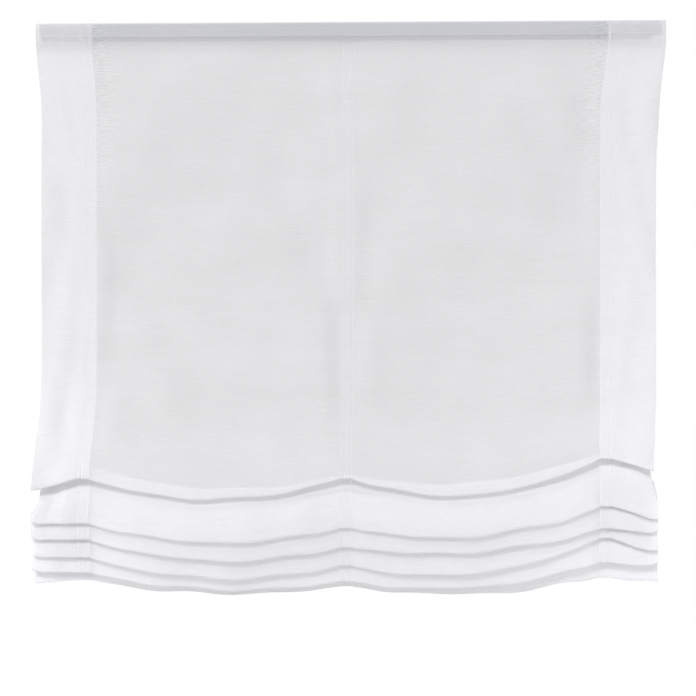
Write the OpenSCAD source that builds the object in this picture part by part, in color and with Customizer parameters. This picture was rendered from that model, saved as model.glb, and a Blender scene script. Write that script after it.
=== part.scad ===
// Soft Roman blind, partly raised, on an aluminium head rail with cord spools.
// Millimetres. +X is the viewer's right, +Z is up and the cloth's face looks along -Y.
// The origin lies on the wall, in the middle of the four bracket screw holes.

/* [Cloth] */
// Width of the blind across its head
blind_w = 1000; // [900:10:1400]
// Thickness of one layer of voile, drawn stouter than the real cloth
cloth_t = 0.8; // [0.6:0.1:1]
// Width of the double side hems
side_hem_w = 90; // [60:5:120]
// Thickness that the turned-in layer adds to a side hem
hem_t = 0.8; // [0.4:0.1:1]
// Height of the cloth's head above the top of the rail
head_rise = 4.5; // [4:0.5:8]
// How far the left edge draws in below the head
waist_left = 9.5; // [0:0.5:20]
// How far the right edge draws in below the head
waist_right = 16; // [0:0.5:24]
// How far the left edge draws in at the folds
foot_left = 1; // [0:0.5:20]
// How far the right edge draws in at the folds
foot_right = 20; // [0:0.5:24]
// How far the middle of the cloth hangs to the left at the folds
sway = 5; // [0:0.5:10]

/* [Folds] */
// Drop from the cloth's head to the first gathered ring
stack_drop = 707; // [500:1:900]
// Height between two gathered rings
ring_pitch = 27; // [25:1:32]
// Length of cloth between two rings
loop_len = 150; // [135:5:175]
// Drop from the lowest ring to the bottom edge
hem_drop = 73; // [60:1:100]
// Straight return of the front layer behind its bottom bend
front_return = 4; // [3:0.5:8]
// Sag of the front layer between two tapes
swag_drop = 36; // [30:1:50]
// Sag of the first fold behind it between two tapes
stack_swag = 27; // [18:1:28]
// How much less each lower fold sags
swag_step = 2; // [1:0.5:3]
// Sag of the front layer's side tails
tail_drop = 18; // [5:1:25]
// Radius of the bend at the bottom of a fold
fold_r = 2.8; // [2.5:0.1:3.5]
// Radius of the bend over a ring
valley_r = 1.8; // [1.4:0.1:2.1]
// How far the lowest loop stands forward of the rings
first_lean = 15; // [14:0.5:20]
// Clear space between two loops at the tapes
loop_gap = 2.6; // [2:0.1:4]
// Height of the front layer's belly above the first gathered ring
belly_h = 130; // [90:5:180]
// Height of each soft wave of the front layer between the tapes
wave_h = 2.5; // [1:0.5:3]

/* [Tapes, rings and cords] */
// Width of the gather tapes
gather_tape_w = 19; // [15:1:24]
// Thickness of the gather tapes
gather_tape_t = 0.5; // [0.3:0.1:0.6]
// Height of the touch-and-close tapes
close_tape_h = 21; // [16:1:22]
// Thickness of the soft loop tape
loop_tape_t = 1.2; // [0.8:0.1:2]
// Thickness of the stiff hook tape
hook_tape_t = 1.5; // [1:0.1:2]
// Outside diameter of a ring
ring_d = 10; // [9:0.5:12]
// Diameter of a ring's wire
ring_wire = 1.6; // [1.2:0.1:2]
// Drop from the head to the first ring on the flat cloth
ring_first = 125; // [90:5:180]
// Diameter of the lift cords
cord_d = 1.2; // [1:0.1:1.6]
// Diameter of a cord stop
stop_d = 9; // [8.5:0.5:10]
// Length of a cord stop
stop_len = 12; // [8:1:16]

/* [Head rail] */
// Depth of the rail from back to front
rail_d = 28; // [26:1:34]
// Height of the rail
rail_h = 25; // [24:1:30]
// Wall of the rail
rail_wall = 1.3; // [1:0.1:1.6]
// Width of the two lips beside the rail's top opening
lip_w = 5; // [4.5:0.5:6]
// Depth of the seat for the hook tape
tape_seat = 0.6; // [0.3:0.1:0.8]
// Distance from the cloth's side edge to the end of the head rail's caps
rail_inset = 6; // [4:1:20]
// Thickness of the end cap's plate
cap_t = 3; // [2:0.5:5]
// Length of the plugs inside the rail
plug_len = 12; // [10:1:20]

/* [Spools] */
// Length of a spool cradle
cradle_len = 44; // [40:1:60]
// Thickness of a cradle's end walls
cradle_wall = 3; // [2:0.5:4]
// Thickness of a cradle's floor
cradle_floor = 1.2; // [1:0.1:1.6]
// Height of a spool's flanges over its drum
flange_rise = 2.4; // [2:0.1:2.8]
// Thickness of a spool's flanges
flange_t = 1.5; // [1:0.1:2]
// Radius of a spool's journals
journal_r = 5; // [4.8:0.1:5.4]
// Turns of cord on a spool
cord_turns = 11; // [6:1:11]
// Width of the drive shaft across its flats
shaft_af = 6; // [5:0.5:6.5]

/* [Drive] */
// Length of the drive unit outside the rail
drive_len = 16; // [15:1:22]
// Thickness of the drive cover
cover_t = 3; // [2.5:0.5:4]
// Wall between the rail's end and the chain wheel
drive_wall = 3; // [2:0.5:4]
// Diameter of the chain's balls
ball_d = 4.5; // [4:0.1:4.6]
// Distance between the chain's balls
ball_pitch = 6; // [5.6:0.1:6]
// Ball pockets round the chain wheel
pockets = 9; // [8:1:9]
// Diameter of the brake spring's wire
brake_wire = 0.9; // [0.7:0.1:1]

/* [Brackets] */
// Distance from the wall to the back of the rail
wall_gap = 8; // [7:0.5:20]
// Height of the rail's top above the middle of the screw holes
rail_top = 12; // [12:0.5:20]
// Distance from a side tape's middle to a bracket's middle
bracket_inset = 79.5; // [60:0.5:120]
// Width of a bracket
bracket_w = 22; // [18:1:30]
// Thickness of the bracket's steel
bracket_t = 2; // [1.5:0.1:2.2]
// Height between a bracket's two screw holes
hole_pitch = 14; // [13:1:22]
// Diameter of a screw hole
hole_d = 4.5; // [4:0.1:5]
// Steel below the lower screw hole's middle
bracket_foot = 5; // [5:0.5:12]
// Radius of the lock's hub
cam_r = 4; // [3.5:0.1:4.5]
// Radius of the lock's pin
cam_pin_r = 2; // [1.5:0.1:2.2]
// How far the lock reaches under the rail's rear lip
cam_bite = 2.4; // [1.5:0.1:2.6]
// Length of the lock's finger lever
lever_len = 14; // [12:0.5:16]

/* [Hidden] */

$fn = 48;
LEFT = 0;
CENTRE = 1;
RIGHT = 2;

// Clearances
run_gap = 0.08;
fit_gap = 0.15;
seat_gap = 0.2;
sew_gap = 0.1;
body_gap = 0.3;
spool_gap = 0.8;
over = 0.1;

// Places of the head
half_w = blind_w / 2;
axis_y = -(wall_gap + rail_d / 2);
axis_z = rail_top - rail_h / 2;
rail_front = -(wall_gap + rail_d);
rail_floor = rail_top - rail_h + rail_wall;
lip_under = rail_top - rail_wall;
hook_y = rail_front + tape_seat;
loop_y = hook_y - hook_tape_t;
cloth_y = loop_y - loop_tape_t - cloth_t / 2;
head_z = rail_top + head_rise;
hook_z = rail_top - 1.5 - close_tape_h;
loop_z = head_z - 1.2 - close_tape_h;
head_band = head_z - axis_z + close_tape_h / 2 + 0.5;
rail_x0 = -(half_w - rail_inset - cap_t);
rail_x1 = half_w - rail_inset - drive_len;

// Places across the cloth
tape_half = gather_tape_w / 2;
side_x = half_w - side_hem_w + tape_half;
hem_in = side_x - tape_half;
hem_step = 1;
tape_x = [-side_x, 0, side_x];
swag_cols = 10;
half_cols = concat(
    [for (i = [0:swag_cols])
        tape_half + (hem_in - hem_step - tape_half) * (1 - cos(180 * i / swag_cols)) / 2],
    [hem_in, side_x + tape_half, (side_x + tape_half + half_w) / 2, half_w]
);
half_count = len(half_cols);
cols = concat([for (i = [half_count - 1:-1:0]) -half_cols[i]], half_cols);
// Each tape covers the strip from this column to the next
tape_col = [2, half_count - 1, half_count + swag_cols + 1];

// How the hang of each tape differs from an even one: the ring stack, then tiers one to six
stack_uneven = [0, 12, -23];
tier_uneven = [
    [9, 2, 1, 3, 1, -1],
    [-4, -4, 0, 2, 1, -5],
    [-1, -4, 4, -7, 5, 15]
];
// How the left and the right swag of each tier differ from an even one
swag_uneven = [
    [-4, -2, 1, 3, -1, -2],
    [4, 1, -4, 10, 3, 0]
];
// Share of the front layer's tail drop that each tier's left and right tails have
tail_share = [
    [1, 0.2, 0.2, 0.1, 0, 0.3],
    [1, 1.2, 0.45, 1.4, 0.45, 0.5]
];
hem_lean = 3;
loop_loss = 3;
front_gap = 15;
swag_front_gap = 11;
swag_power = 0.85;
swag_round = 0.5;
swag_bulge = 0.25;
waist_drop = 150;
// Soft waves of the front layer: length across, length down, phase
front_waves = [
    [319, 460, 352],
    [514, 569, 180],
    [-369, 308, 190],
    [-469, 490, 24],
    [-435, 647, 125]
];
wave_clear = 34;
wave_start = 70;
wave_end = 60;

// Cloth: where a column lies between the tapes
function ease(t) = let (s = min(1, max(0, t))) s * s * (3 - 2 * s);
function mix(a, b, t) = a + (b - a) * t;
function swag_s(u) = min(1, max(0, (abs(u) - tape_half) / (hem_in - tape_half)));
function swag(u) = pow(max(0, sin(180 * swag_s(u))), swag_power);
function tail(u) = max(0, (abs(u) - side_x - tape_half) / (half_w - side_x - tape_half));
function side_of(u) = u < 0 ? LEFT : RIGHT;
function half_of(u) = u < 0 ? 0 : 1;
function by_tape(u, values) = mix(values[CENTRE], values[side_of(u)], swag_s(u));

// Cloth: drops of the rings, fold bottoms and fold tops, tiers counted from 0
function ring_drop(t, k) = stack_drop + stack_uneven[t] + ring_pitch * k;
function tier_drop_at(t, k) = tier_uneven[t][k] + (
    k == 0 ? ring_drop(t, 0) + valley_r + fold_r + front_return :
    k == 5 ? ring_drop(t, 4) + hem_drop :
    (ring_drop(t, k - 1) + ring_drop(t, k)) / 2 + loop_len / 2 - loop_loss);
function tier_drop(u, k) = by_tape(u, [for (t = [LEFT:RIGHT]) tier_drop_at(t, k)])
    + swag(u) * (swag_uneven[half_of(u)][k] + (k == 0 ? swag_drop : stack_swag - swag_step * (k - 1)))
    + tail(u) * tail_drop * tail_share[half_of(u)][k];
function valley_drop(u, k) = by_tape(u, [for (t = [LEFT:RIGHT]) ring_drop(t, k)])
    + swag(u) * (stack_swag - swag_step * (k - 0.5))
    + tail(u) * tail_drop * (tail_share[half_of(u)][k] + tail_share[half_of(u)][k + 1]) / 2;

// Cloth: sideways draw of the hanging cloth
function draw(drop, waist, foot) =
    waist * ease((drop - head_band) / (waist_drop - head_band))
    + (foot - waist) * ease((drop - stack_drop + belly_h) / belly_h);
function hang_x(u, drop) =
    let (
        share = abs(u) / half_w,
        side = u < 0 ? draw(drop, waist_left, foot_left) : -draw(drop, waist_right, foot_right)
    )
    u + side * share - draw(drop, sway / 2, sway) * (1 - share);

// Cloth: soft waves, none at the head, on a tape, in a side hem or at the fold
function total(values) = values * [for (v = values) 1];
function off_tapes(u) =
    ease((min([for (x = tape_x) abs(u - x)]) - tape_half) / wave_clear) * (abs(u) < hem_in ? 1 : 0);
function wave(u, drop) =
    wave_h * off_tapes(u)
    * ease((drop - head_band) / wave_start) * (1 - ease((drop - stack_drop + wave_end) / wave_end))
    * total([for (w = front_waves) sin(360 * (hang_x(u, drop) / w[0] + drop / w[1]) + w[2])]);

// Cloth: one column's section. A column c is [fold bottoms, fold tops, swag share, bend radius, place]
function column(u) = [
    [for (k = [0:5]) tier_drop(u, k)],
    [for (k = [0:4]) valley_drop(u, k)],
    swag(u),
    fold_r * (1 + swag_round * swag(u)),
    u
];
function bottom(c, k) = c[0][k] - (k == 5 ? 0 : c[3]);
function top(c, k) = c[1][k] + valley_r;
// Depth of the foremost point of tier k, in front of the rings
function lean(c, k) =
    k == 5 ? hem_lean :
    k == 4 ? first_lean * (1 + swag_bulge * c[2]) :
    leaf(c, k + 1, bottom(c, k)) + 2 * c[3]
        + (k == 0 ? mix(front_gap, swag_front_gap, c[2]) : loop_gap * (1 + swag_round * c[2]));
// Depth of the front leaf of tier k at a drop
function leaf(c, k, drop) =
    let (t = (drop - top(c, k - 1)) / (bottom(c, k) - top(c, k - 1)))
    lean(c, k) * (1 - pow(1 - t, 2));
function front_rows(c) = let (
        belly = stack_drop - belly_h,
        hung = head_band + 1.5,
        steps = 12
    ) concat(
        [[0, 0], [0, head_band], [0, hung]],
        [for (i = [1:steps]) let (drop = mix(hung, belly, i / steps)) [wave(c[4], drop), drop]],
        [for (t = [1 / 3, 2 / 3, 1]) let (drop = mix(belly, bottom(c, 0), t)) [lean(c, 0) * t * t + wave(c[4], drop), drop]]
    );
function leaf_rows(c, k, steps) = [
    for (t = steps)
        let (drop = mix(top(c, k - 1), bottom(c, k), t))
        [leaf(c, k, drop), drop]
];
function bend_rows(c, k) = [
    for (a = [45:45:180])
        [lean(c, k) - c[3] * (1 - cos(a)), bottom(c, k) + c[3] * sin(a)]
];
function rise_rows(c, k) = [
    for (t = [2 / 3, 1 / 3])
        let (
            drop = mix(top(c, k), bottom(c, k), t),
            spare = lean(c, k) - 2 * c[3] - leaf(c, k + 1, bottom(c, k)) - 2 * valley_r
        )
        [leaf(c, k + 1, drop) + 2 * valley_r + spare * t, drop]
];
function valley_rows(c, k) = [
    for (a = [0:60:180]) [valley_r * (1 + cos(a)), top(c, k) - valley_r * sin(a)]
];
function section(c) = concat(
    front_rows(c), bend_rows(c, 0), valley_rows(c, 0),
    [for (k = [1:4]) each concat(
        leaf_rows(c, k, [0.25:0.25:1]), bend_rows(c, k), rise_rows(c, k), valley_rows(c, k))],
    leaf_rows(c, 5, [1 / 3, 2 / 3, 1])
);

// Cloth: a point of the sheet
function sheet_point(u, p) = [hang_x(u, p[1]), cloth_y - p[0], head_z - p[1]];
function unit(v) = v / norm(v);

sheet = [for (u = cols) [for (p = section(column(u))) sheet_point(u, p)]];
last_col = len(cols) - 1;
last_row = len(sheet[0]) - 1;
// Unit vectors that point out of the cloth's back
sheet_back = [
    for (j = [0:last_col]) [
        for (i = [0:last_row])
            unit(cross(
                sheet[min(j + 1, last_col)][i] - sheet[max(j - 1, 0)][i],
                sheet[j][min(i + 1, last_row)] - sheet[j][max(i - 1, 0)]))
    ]
];
hem_row = 2;
function hem_extra(j, i) = i >= hem_row && abs(cols[j]) >= hem_in - over ? hem_t : 0;
function back_offset(j, i) = cloth_t / 2 + hem_extra(j, i);
function offset_point(j, i, d) = sheet[j][i] + sheet_back[j][i] * d;

// Rings and cords
ring_r = (ring_d - ring_wire) / 2;
function tape_back(t) = cloth_y + cloth_t / 2 + (t == CENTRE ? 0 : hem_t) + sew_gap + gather_tape_t;
function ring_y(t) = tape_back(t) + seat_gap + ring_d / 2;
cord_y = ring_y(LEFT);
flat_rings = [for (drop = [ring_first:loop_len:stack_drop - belly_h + over]) drop];
function ring_drops(t) = concat(flat_rings, [for (k = [0:4]) ring_drop(t, k) + valley_r]);
function ring_place(t, drop, y) = [hang_x(tape_x[t], drop), y, head_z - drop];
function last_ring(t) = ring_drop(t, 4) + valley_r;
function stop_top(t) = last_ring(t) + ring_wire / 2 + seat_gap;

// Spools
bore_r = journal_r + run_gap;
flange_r = min(rail_h, rail_d) / 2 - rail_wall - cradle_floor - spool_gap;
drum_r = flange_r - flange_rise;
spool_half = cradle_len / 2 - cradle_wall - body_gap;
wound_r = drum_r + cord_d / 2;
turn_pitch = 0.95 * cord_d;
exit_y = axis_y - wound_r;
exit_drop = sqrt((cord_d + body_gap) * (2 * wound_r + body_gap)) + body_gap;
slot_half = spool_half - flange_t - 2;
slot_w = cord_d + 2.8;
shaft_r = shaft_af / 2 / cos(30);
hex_gap = 0.1;
shaft_x0 = -side_x - cradle_len / 2 - 8;

// Drive unit
housing_x1 = rail_x1 + drive_len - cover_t;
cavity_x0 = rail_x1 + drive_wall;
wheel_x0 = cavity_x0 + body_gap;
wheel_x1 = housing_x1 - body_gap;
wheel_mid = (wheel_x0 + wheel_x1) / 2;
chain_r = pockets * ball_pitch / 360 * 180 / PI;
wheel_rim_r = chain_r + 0.6;
wheel_flange_r = chain_r + ball_d / 2;
wheel_flange_t = 1.2;
link_groove = 2;
cavity_r = wheel_flange_r + body_gap;
drive_h = max(rail_h, 2 * (cavity_r + 1.2));
drive_d = max(rail_d, 2 * (cavity_r + 1.2));
core_r = bore_r + 1.3;
spring_r = core_r + run_gap + brake_wire / 2;
spring_pitch = 0.95 * brake_wire;
spring_len = plug_len - 3;
spring_turns = floor((spring_len - 1) / spring_pitch);
chamber_r = spring_r + brake_wire / 2 + body_gap;
sleeve_x0 = rail_x1 - plug_len + 1;
shaft_x1 = wheel_x1 - 2;
stub_r = 3;
stub_len = 1.6;
screw_r = 1;
screw_head_r = 2;
screw_head_t = 1.3;
screw_len = 9;
screw_y = drive_d / 2 - screw_head_r - 0.6;
screw_z = drive_h / 2 - screw_head_r - 0.6;

// Brackets
bracket_x = side_x - bracket_inset;
arm_z = rail_top + bracket_t;
arm_front = rail_front + lip_w - 2;
catch_w = 12;
catch_t = 1.5;
catch_y = rail_front + lip_w + 0.4;
catch_z = lip_under - body_gap;
catch_bite = 2.6;
cam_clear = 0.6;
cam_y = -(wall_gap + lip_w + cam_r + cam_clear);
cam_t = 1.5;
cam_lobe = cam_r + cam_clear + cam_bite;
lever_t = 1.5;
lever_w = 7;

module along_x(x0, x1) {
    translate([x0, 0, 0])
        rotate([90, 0, 90])
            linear_extrude(x1 - x0)
                children();
}

module rod_x(x0, x1, r, y = axis_y, z = axis_z) {
    translate([x0, y, z])
        rotate([0, 90, 0])
            cylinder(r = r, h = x1 - x0);
}

module hex_x(x0, x1, af) {
    translate([x0, axis_y, axis_z])
        rotate([0, 90, 0])
            cylinder(r = af / 2 / cos(30), h = x1 - x0, $fn = 6);
}

module round_rect(w, h, r) {
    square([w - 2 * r, h], center = true);
    square([w, h - 2 * r], center = true);
    for (x = [-1, 1], y = [-1, 1])
        translate([x * (w / 2 - r), y * (h / 2 - r)])
            circle(r = r);
}

// Closed solid between two grids of points, given as lists of columns
module skin(face, back) {
    nc = len(face);
    nr = len(face[0]);
    n = nc * nr;
    top_row = [for (j = [0:nc - 2]) [j * nr, (j + 1) * nr]];
    low_row = [for (j = [0:nc - 2]) [(j + 1) * nr + nr - 1, j * nr + nr - 1]];
    left_col = [for (i = [0:nr - 2]) [i + 1, i]];
    right_col = [for (i = [0:nr - 2]) [(nc - 1) * nr + i, (nc - 1) * nr + i + 1]];
    quads = [
        for (j = [0:nc - 2], i = [0:nr - 2])
            [j * nr + i, (j + 1) * nr + i, (j + 1) * nr + i + 1, j * nr + i + 1]
    ];
    polyhedron(
        points = concat([for (c = face) each c], [for (c = back) each c]),
        faces = concat(
            [for (q = quads) each [[q[0], q[1], q[2]], [q[0], q[2], q[3]]]],
            [for (q = quads) each [[q[0] + n, q[2] + n, q[1] + n], [q[0] + n, q[3] + n, q[2] + n]]],
            [for (e = concat(top_row, low_row, left_col, right_col))
                each [[e[1], e[0], e[0] + n], [e[1], e[0] + n, e[1] + n]]]
        ),
        convexity = 16
    );
}

module fabric_panel() {
    color("white")
        skin(
            [for (j = [0:last_col]) [for (i = [0:last_row]) offset_point(j, i, -cloth_t / 2)]],
            [for (j = [0:last_col]) [for (i = [0:last_row]) offset_point(j, i, back_offset(j, i))]]
        );
}

module gather_tape(t) {
    strip = [tape_col[t], tape_col[t] + 1];
    rows = [hem_row:last_row - 1];
    color("whitesmoke")
        skin(
            [for (j = strip) [for (i = rows) offset_point(j, i, back_offset(j, i) + sew_gap)]],
            [for (j = strip) [for (i = rows) offset_point(j, i, back_offset(j, i) + sew_gap + gather_tape_t)]]
        );
}

module close_tape(x0, x1, y, z, t) {
    translate([x0, y - t, z])
        cube([x1 - x0, t, close_tape_h]);
}

module loop_tape() {
    color("white")
        close_tape(-half_w + rail_inset, half_w - rail_inset, loop_y, loop_z, loop_tape_t);
}

module hook_tape() {
    color("gainsboro")
        close_tape(rail_x0 + 1, rail_x1 - 1, hook_y, hook_z, hook_tape_t);
}

module rings(t) {
    color("aliceblue")
        for (drop = ring_drops(t))
            translate(ring_place(t, drop, ring_y(t)))
                rotate_extrude()
                    translate([ring_r, 0])
                        circle(d = ring_wire, $fn = 24);
}

// The cord leaves the spool, passes the rail's slot and every ring, and ends in the stop
function cord_path(t) = concat(
    [
        [tape_x[t], exit_y, axis_z - exit_drop],
        [tape_x[t], exit_y, rail_top - rail_h - 4]
    ],
    [for (drop = ring_drops(t)) ring_place(t, drop, cord_y)],
    [ring_place(t, stop_top(t) + stop_len, cord_y)]
);

module lift_cord(t) {
    sides = 8;
    path = cord_path(t);
    ends = len(path) - 1;
    color("white")
        polyhedron(
            points = [
                for (p = path, a = [0:360 / sides:359])
                    p + cord_d / 2 * [cos(a), sin(a), 0]
            ],
            faces = concat(
                [[for (a = [sides - 1:-1:0]) a], [for (a = [0:sides - 1]) ends * sides + a]],
                [for (i = [0:ends - 1], a = [0:sides - 1])
                    let (b = (a + 1) % sides)
                    each [
                        [i * sides + a, i * sides + b, (i + 1) * sides + b],
                        [i * sides + a, (i + 1) * sides + b, (i + 1) * sides + a]
                    ]]
            )
        );
}

module cord_stop(t) {
    top_at = ring_place(t, stop_top(t), cord_y);
    neck = stop_len / 3;
    shoulder = 0.6;
    color("white")
        translate(top_at - [0, 0, stop_len])
            difference() {
                union() {
                    cylinder(r1 = stop_d / 2 - 2, r2 = stop_d / 2, h = neck);
                    translate([0, 0, neck])
                        cylinder(d = stop_d, h = stop_len - neck - shoulder);
                    translate([0, 0, stop_len - shoulder])
                        cylinder(r1 = stop_d / 2, r2 = stop_d / 2 - shoulder, h = shoulder);
                }
                translate([0, 0, -over])
                    cylinder(d = cord_d + 2 * sew_gap, h = stop_len + 2 * over);
            }
}

module rail_profile() {
    difference() {
        translate([axis_y, axis_z])
            round_rect(rail_d, rail_h, 1);
        translate([axis_y, axis_z])
            square([rail_d - 2 * rail_wall, rail_h - 2 * rail_wall], center = true);
        translate([axis_y - rail_d / 2 + lip_w, lip_under - over])
            square([rail_d - 2 * lip_w, rail_wall + 2 * over]);
        translate([rail_front - over, hook_z - fit_gap])
            square([tape_seat + over, close_tape_h + 2 * fit_gap]);
    }
}

// Slot along X for a cord that runs to and fro on its spool
module cord_slot(x, z0, z1) {
    translate([x - slot_half, exit_y - slot_w / 2, z0])
        cube([2 * slot_half, slot_w, z1 - z0]);
    for (s = [-1, 1])
        translate([x + s * slot_half, exit_y, z0])
            cylinder(d = slot_w, h = z1 - z0);
}

module head_rail() {
    color("silver")
        difference() {
            along_x(rail_x0, rail_x1)
                rail_profile();
            for (x = tape_x)
                cord_slot(x, rail_top - rail_h - over, rail_floor + over);
        }
}

// Section of what slides into the rail, from its floor to under its lips
module rail_plug(x0, x1) {
    low = rail_floor;
    high = lip_under - fit_gap;
    translate([x0, axis_y - rail_d / 2 + rail_wall + fit_gap, low])
        cube([x1 - x0, rail_d - 2 * rail_wall - 2 * fit_gap, high - low]);
}

module end_cap() {
    hollow = 2;
    color("gainsboro")
        difference() {
            union() {
                along_x(rail_x0 - cap_t, rail_x0)
                    translate([axis_y, axis_z])
                        round_rect(rail_d, rail_h, 2);
                rail_plug(rail_x0, rail_x0 + plug_len);
            }
            translate([rail_x0, axis_y - rail_d / 2 + rail_wall + hollow, rail_floor + hollow])
                cube([plug_len + over, rail_d - 2 * (rail_wall + hollow), rail_h]);
        }
}

module spool(t) {
    x = tape_x[t];
    cone = 2.5;
    color("white")
        difference() {
            union() {
                rod_x(x - cradle_len / 2 - 1, x + cradle_len / 2 + 1, journal_r);
                rod_x(x - spool_half, x + spool_half, drum_r);
                rod_x(x - spool_half, x - spool_half + flange_t, flange_r);
                rod_x(x + spool_half - flange_t, x + spool_half, flange_r);
                translate([x + spool_half - flange_t, axis_y, axis_z])
                    rotate([0, -90, 0])
                        cylinder(r1 = flange_r - 0.5, r2 = drum_r, h = cone);
            }
            hex_x(x - cradle_len, x + cradle_len, shaft_af + 2 * hex_gap);
        }
}

// The last turn lies over the tape's middle, where the cord leaves
module winding(t) {
    color("ivory")
        translate([tape_x[t], axis_y, axis_z])
            rotate([0, -90, 0])
                rotate_extrude()
                    for (i = [0:cord_turns - 1])
                        translate([wound_r, i * turn_pitch])
                            circle(d = cord_d, $fn = 24);
}

module cradle(t) {
    x = tape_x[t];
    side = 1.2;
    side_h = 5;
    half_d = rail_d / 2 - rail_wall - fit_gap;
    mouth = 0.9 * journal_r;
    color("whitesmoke")
        difference() {
            union() {
                for (s = [-1, 1])
                    rail_plug(
                        x + s * (cradle_len - cradle_wall) / 2 - cradle_wall / 2,
                        x + s * (cradle_len - cradle_wall) / 2 + cradle_wall / 2
                    );
                translate([x - cradle_len / 2, axis_y - half_d, rail_floor])
                    cube([cradle_len, 2 * half_d, cradle_floor]);
                for (y = [axis_y - half_d, axis_y + half_d - side])
                    translate([x - cradle_len / 2, y, rail_floor])
                        cube([cradle_len, side, side_h]);
            }
            rod_x(x - cradle_len, x + cradle_len, bore_r);
            translate([x - cradle_len, axis_y - mouth, axis_z])
                cube([2 * cradle_len, 2 * mouth, rail_h]);
            cord_slot(x, rail_floor - over, rail_floor + cradle_floor + over);
        }
}

module drive_shaft() {
    color("darkgray")
        hex_x(shaft_x0, shaft_x1, shaft_af);
}

module drive_outline() {
    translate([axis_y, rail_top - drive_h / 2])
        round_rect(drive_d, drive_h, 2);
}

module drive_screw_places() {
    for (s = [-1, 1])
        translate([0, axis_y + s * screw_y, rail_top - drive_h / 2 - s * screw_z])
            children();
}

module chain_outlet(y) {
    w = ball_d + 1;
    translate([wheel_mid - w / 2, axis_y + y - w / 2, rail_top - drive_h - over])
        cube([w, w, drive_h / 2 - drum_r]);
}

module drive_housing() {
    color("white")
        difference() {
            union() {
                along_x(rail_x1, housing_x1)
                    drive_outline();
                rail_plug(rail_x1 - plug_len, rail_x1);
            }
            rod_x(cavity_x0, housing_x1 + over, cavity_r);
            difference() {
                rod_x(rail_x1 - plug_len - over, rail_x1 - plug_len + spring_len, chamber_r);
                rod_x(rail_x1 - plug_len - 2 * over, rail_x1, core_r);
            }
            rod_x(rail_x1 - plug_len - over, cavity_x0 + over, bore_r);
            for (s = [-1, 1])
                chain_outlet(s * chain_r);
            drive_screw_places()
                rod_x(housing_x1 - screw_len, housing_x1 + over, screw_r + run_gap, 0, 0);
        }
}

module chain_wheel() {
    pocket_d = ball_d + 0.4;
    color("ghostwhite")
        difference() {
            union() {
                rod_x(wheel_x0, wheel_x1, wheel_rim_r);
                rod_x(wheel_x0, wheel_x0 + wheel_flange_t, wheel_flange_r);
                rod_x(wheel_x1 - wheel_flange_t, wheel_x1, wheel_flange_r);
                rod_x(sleeve_x0, wheel_x0 + over, journal_r);
                rod_x(wheel_x1 - over, wheel_x1 + stub_len, stub_r);
            }
            for (i = [0:pockets - 1])
                translate([wheel_mid, axis_y, axis_z])
                    rotate([i * 360 / pockets, 0, 0])
                        translate([0, 0, chain_r])
                            sphere(d = pocket_d);
            difference() {
                rod_x(wheel_mid - link_groove / 2, wheel_mid + link_groove / 2, wheel_rim_r + 1);
                rod_x(wheel_mid - link_groove, wheel_mid + link_groove, chain_r - link_groove / 2);
            }
            hex_x(sleeve_x0 - over, shaft_x1 + hex_gap, shaft_af + 2 * hex_gap);
        }
}

module brake_spring() {
    color("dimgray")
        translate([rail_x1 - plug_len + 1 + brake_wire / 2, axis_y, axis_z])
            rotate([0, 90, 0])
                rotate_extrude()
                    for (i = [0:spring_turns - 1])
                        translate([spring_r, i * spring_pitch])
                            circle(d = brake_wire, $fn = 24);
}

module drive_cover() {
    color("white")
        difference() {
            along_x(housing_x1, housing_x1 + cover_t)
                drive_outline();
            rod_x(housing_x1 - over, wheel_x1 + stub_len + body_gap, stub_r + run_gap);
            drive_screw_places() {
                rod_x(housing_x1 - over, housing_x1 + cover_t + over, screw_r + fit_gap, 0, 0);
                rod_x(
                    housing_x1 + cover_t - screw_head_t, housing_x1 + cover_t + over,
                    screw_head_r + fit_gap, 0, 0
                );
            }
        }
}

module cover_screws() {
    head_x = housing_x1 + cover_t - screw_head_t;
    color("silver")
        drive_screw_places()
            difference() {
                union() {
                    rod_x(head_x, head_x + screw_head_t, screw_head_r, 0, 0);
                    rod_x(head_x - screw_len, head_x + over, screw_r, 0, 0);
                }
                translate([head_x + screw_head_t - 0.6, -screw_head_r, -0.25])
                    cube([1, 2 * screw_head_r, 0.5]);
            }
}

module wall_bracket(x) {
    leg_h = hole_pitch / 2 + bracket_foot + arm_z;
    color("gainsboro")
        translate([x, 0, 0])
            difference() {
                union() {
                    translate([0, 0, arm_z - leg_h / 2])
                        rotate([90, 0, 0])
                            linear_extrude(bracket_t)
                                round_rect(bracket_w, leg_h, 2);
                    translate([-bracket_w / 2, arm_front, rail_top])
                        cube([bracket_w, -arm_front, bracket_t]);
                    translate([-catch_w / 2, catch_y, catch_z - catch_t])
                        cube([catch_w, catch_t, rail_top - catch_z + catch_t + over]);
                    translate([-catch_w / 2, catch_y - catch_bite, catch_z - catch_t])
                        cube([catch_w, catch_bite + over, catch_t]);
                }
                for (z = [-1, 1])
                    translate([0, over, z * hole_pitch / 2])
                        rotate([90, 0, 0])
                            cylinder(d = hole_d, h = bracket_t + 2 * over);
                translate([0, cam_y, rail_top - over])
                    cylinder(r = cam_pin_r + run_gap, h = bracket_t + 2 * over);
            }
}

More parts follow.
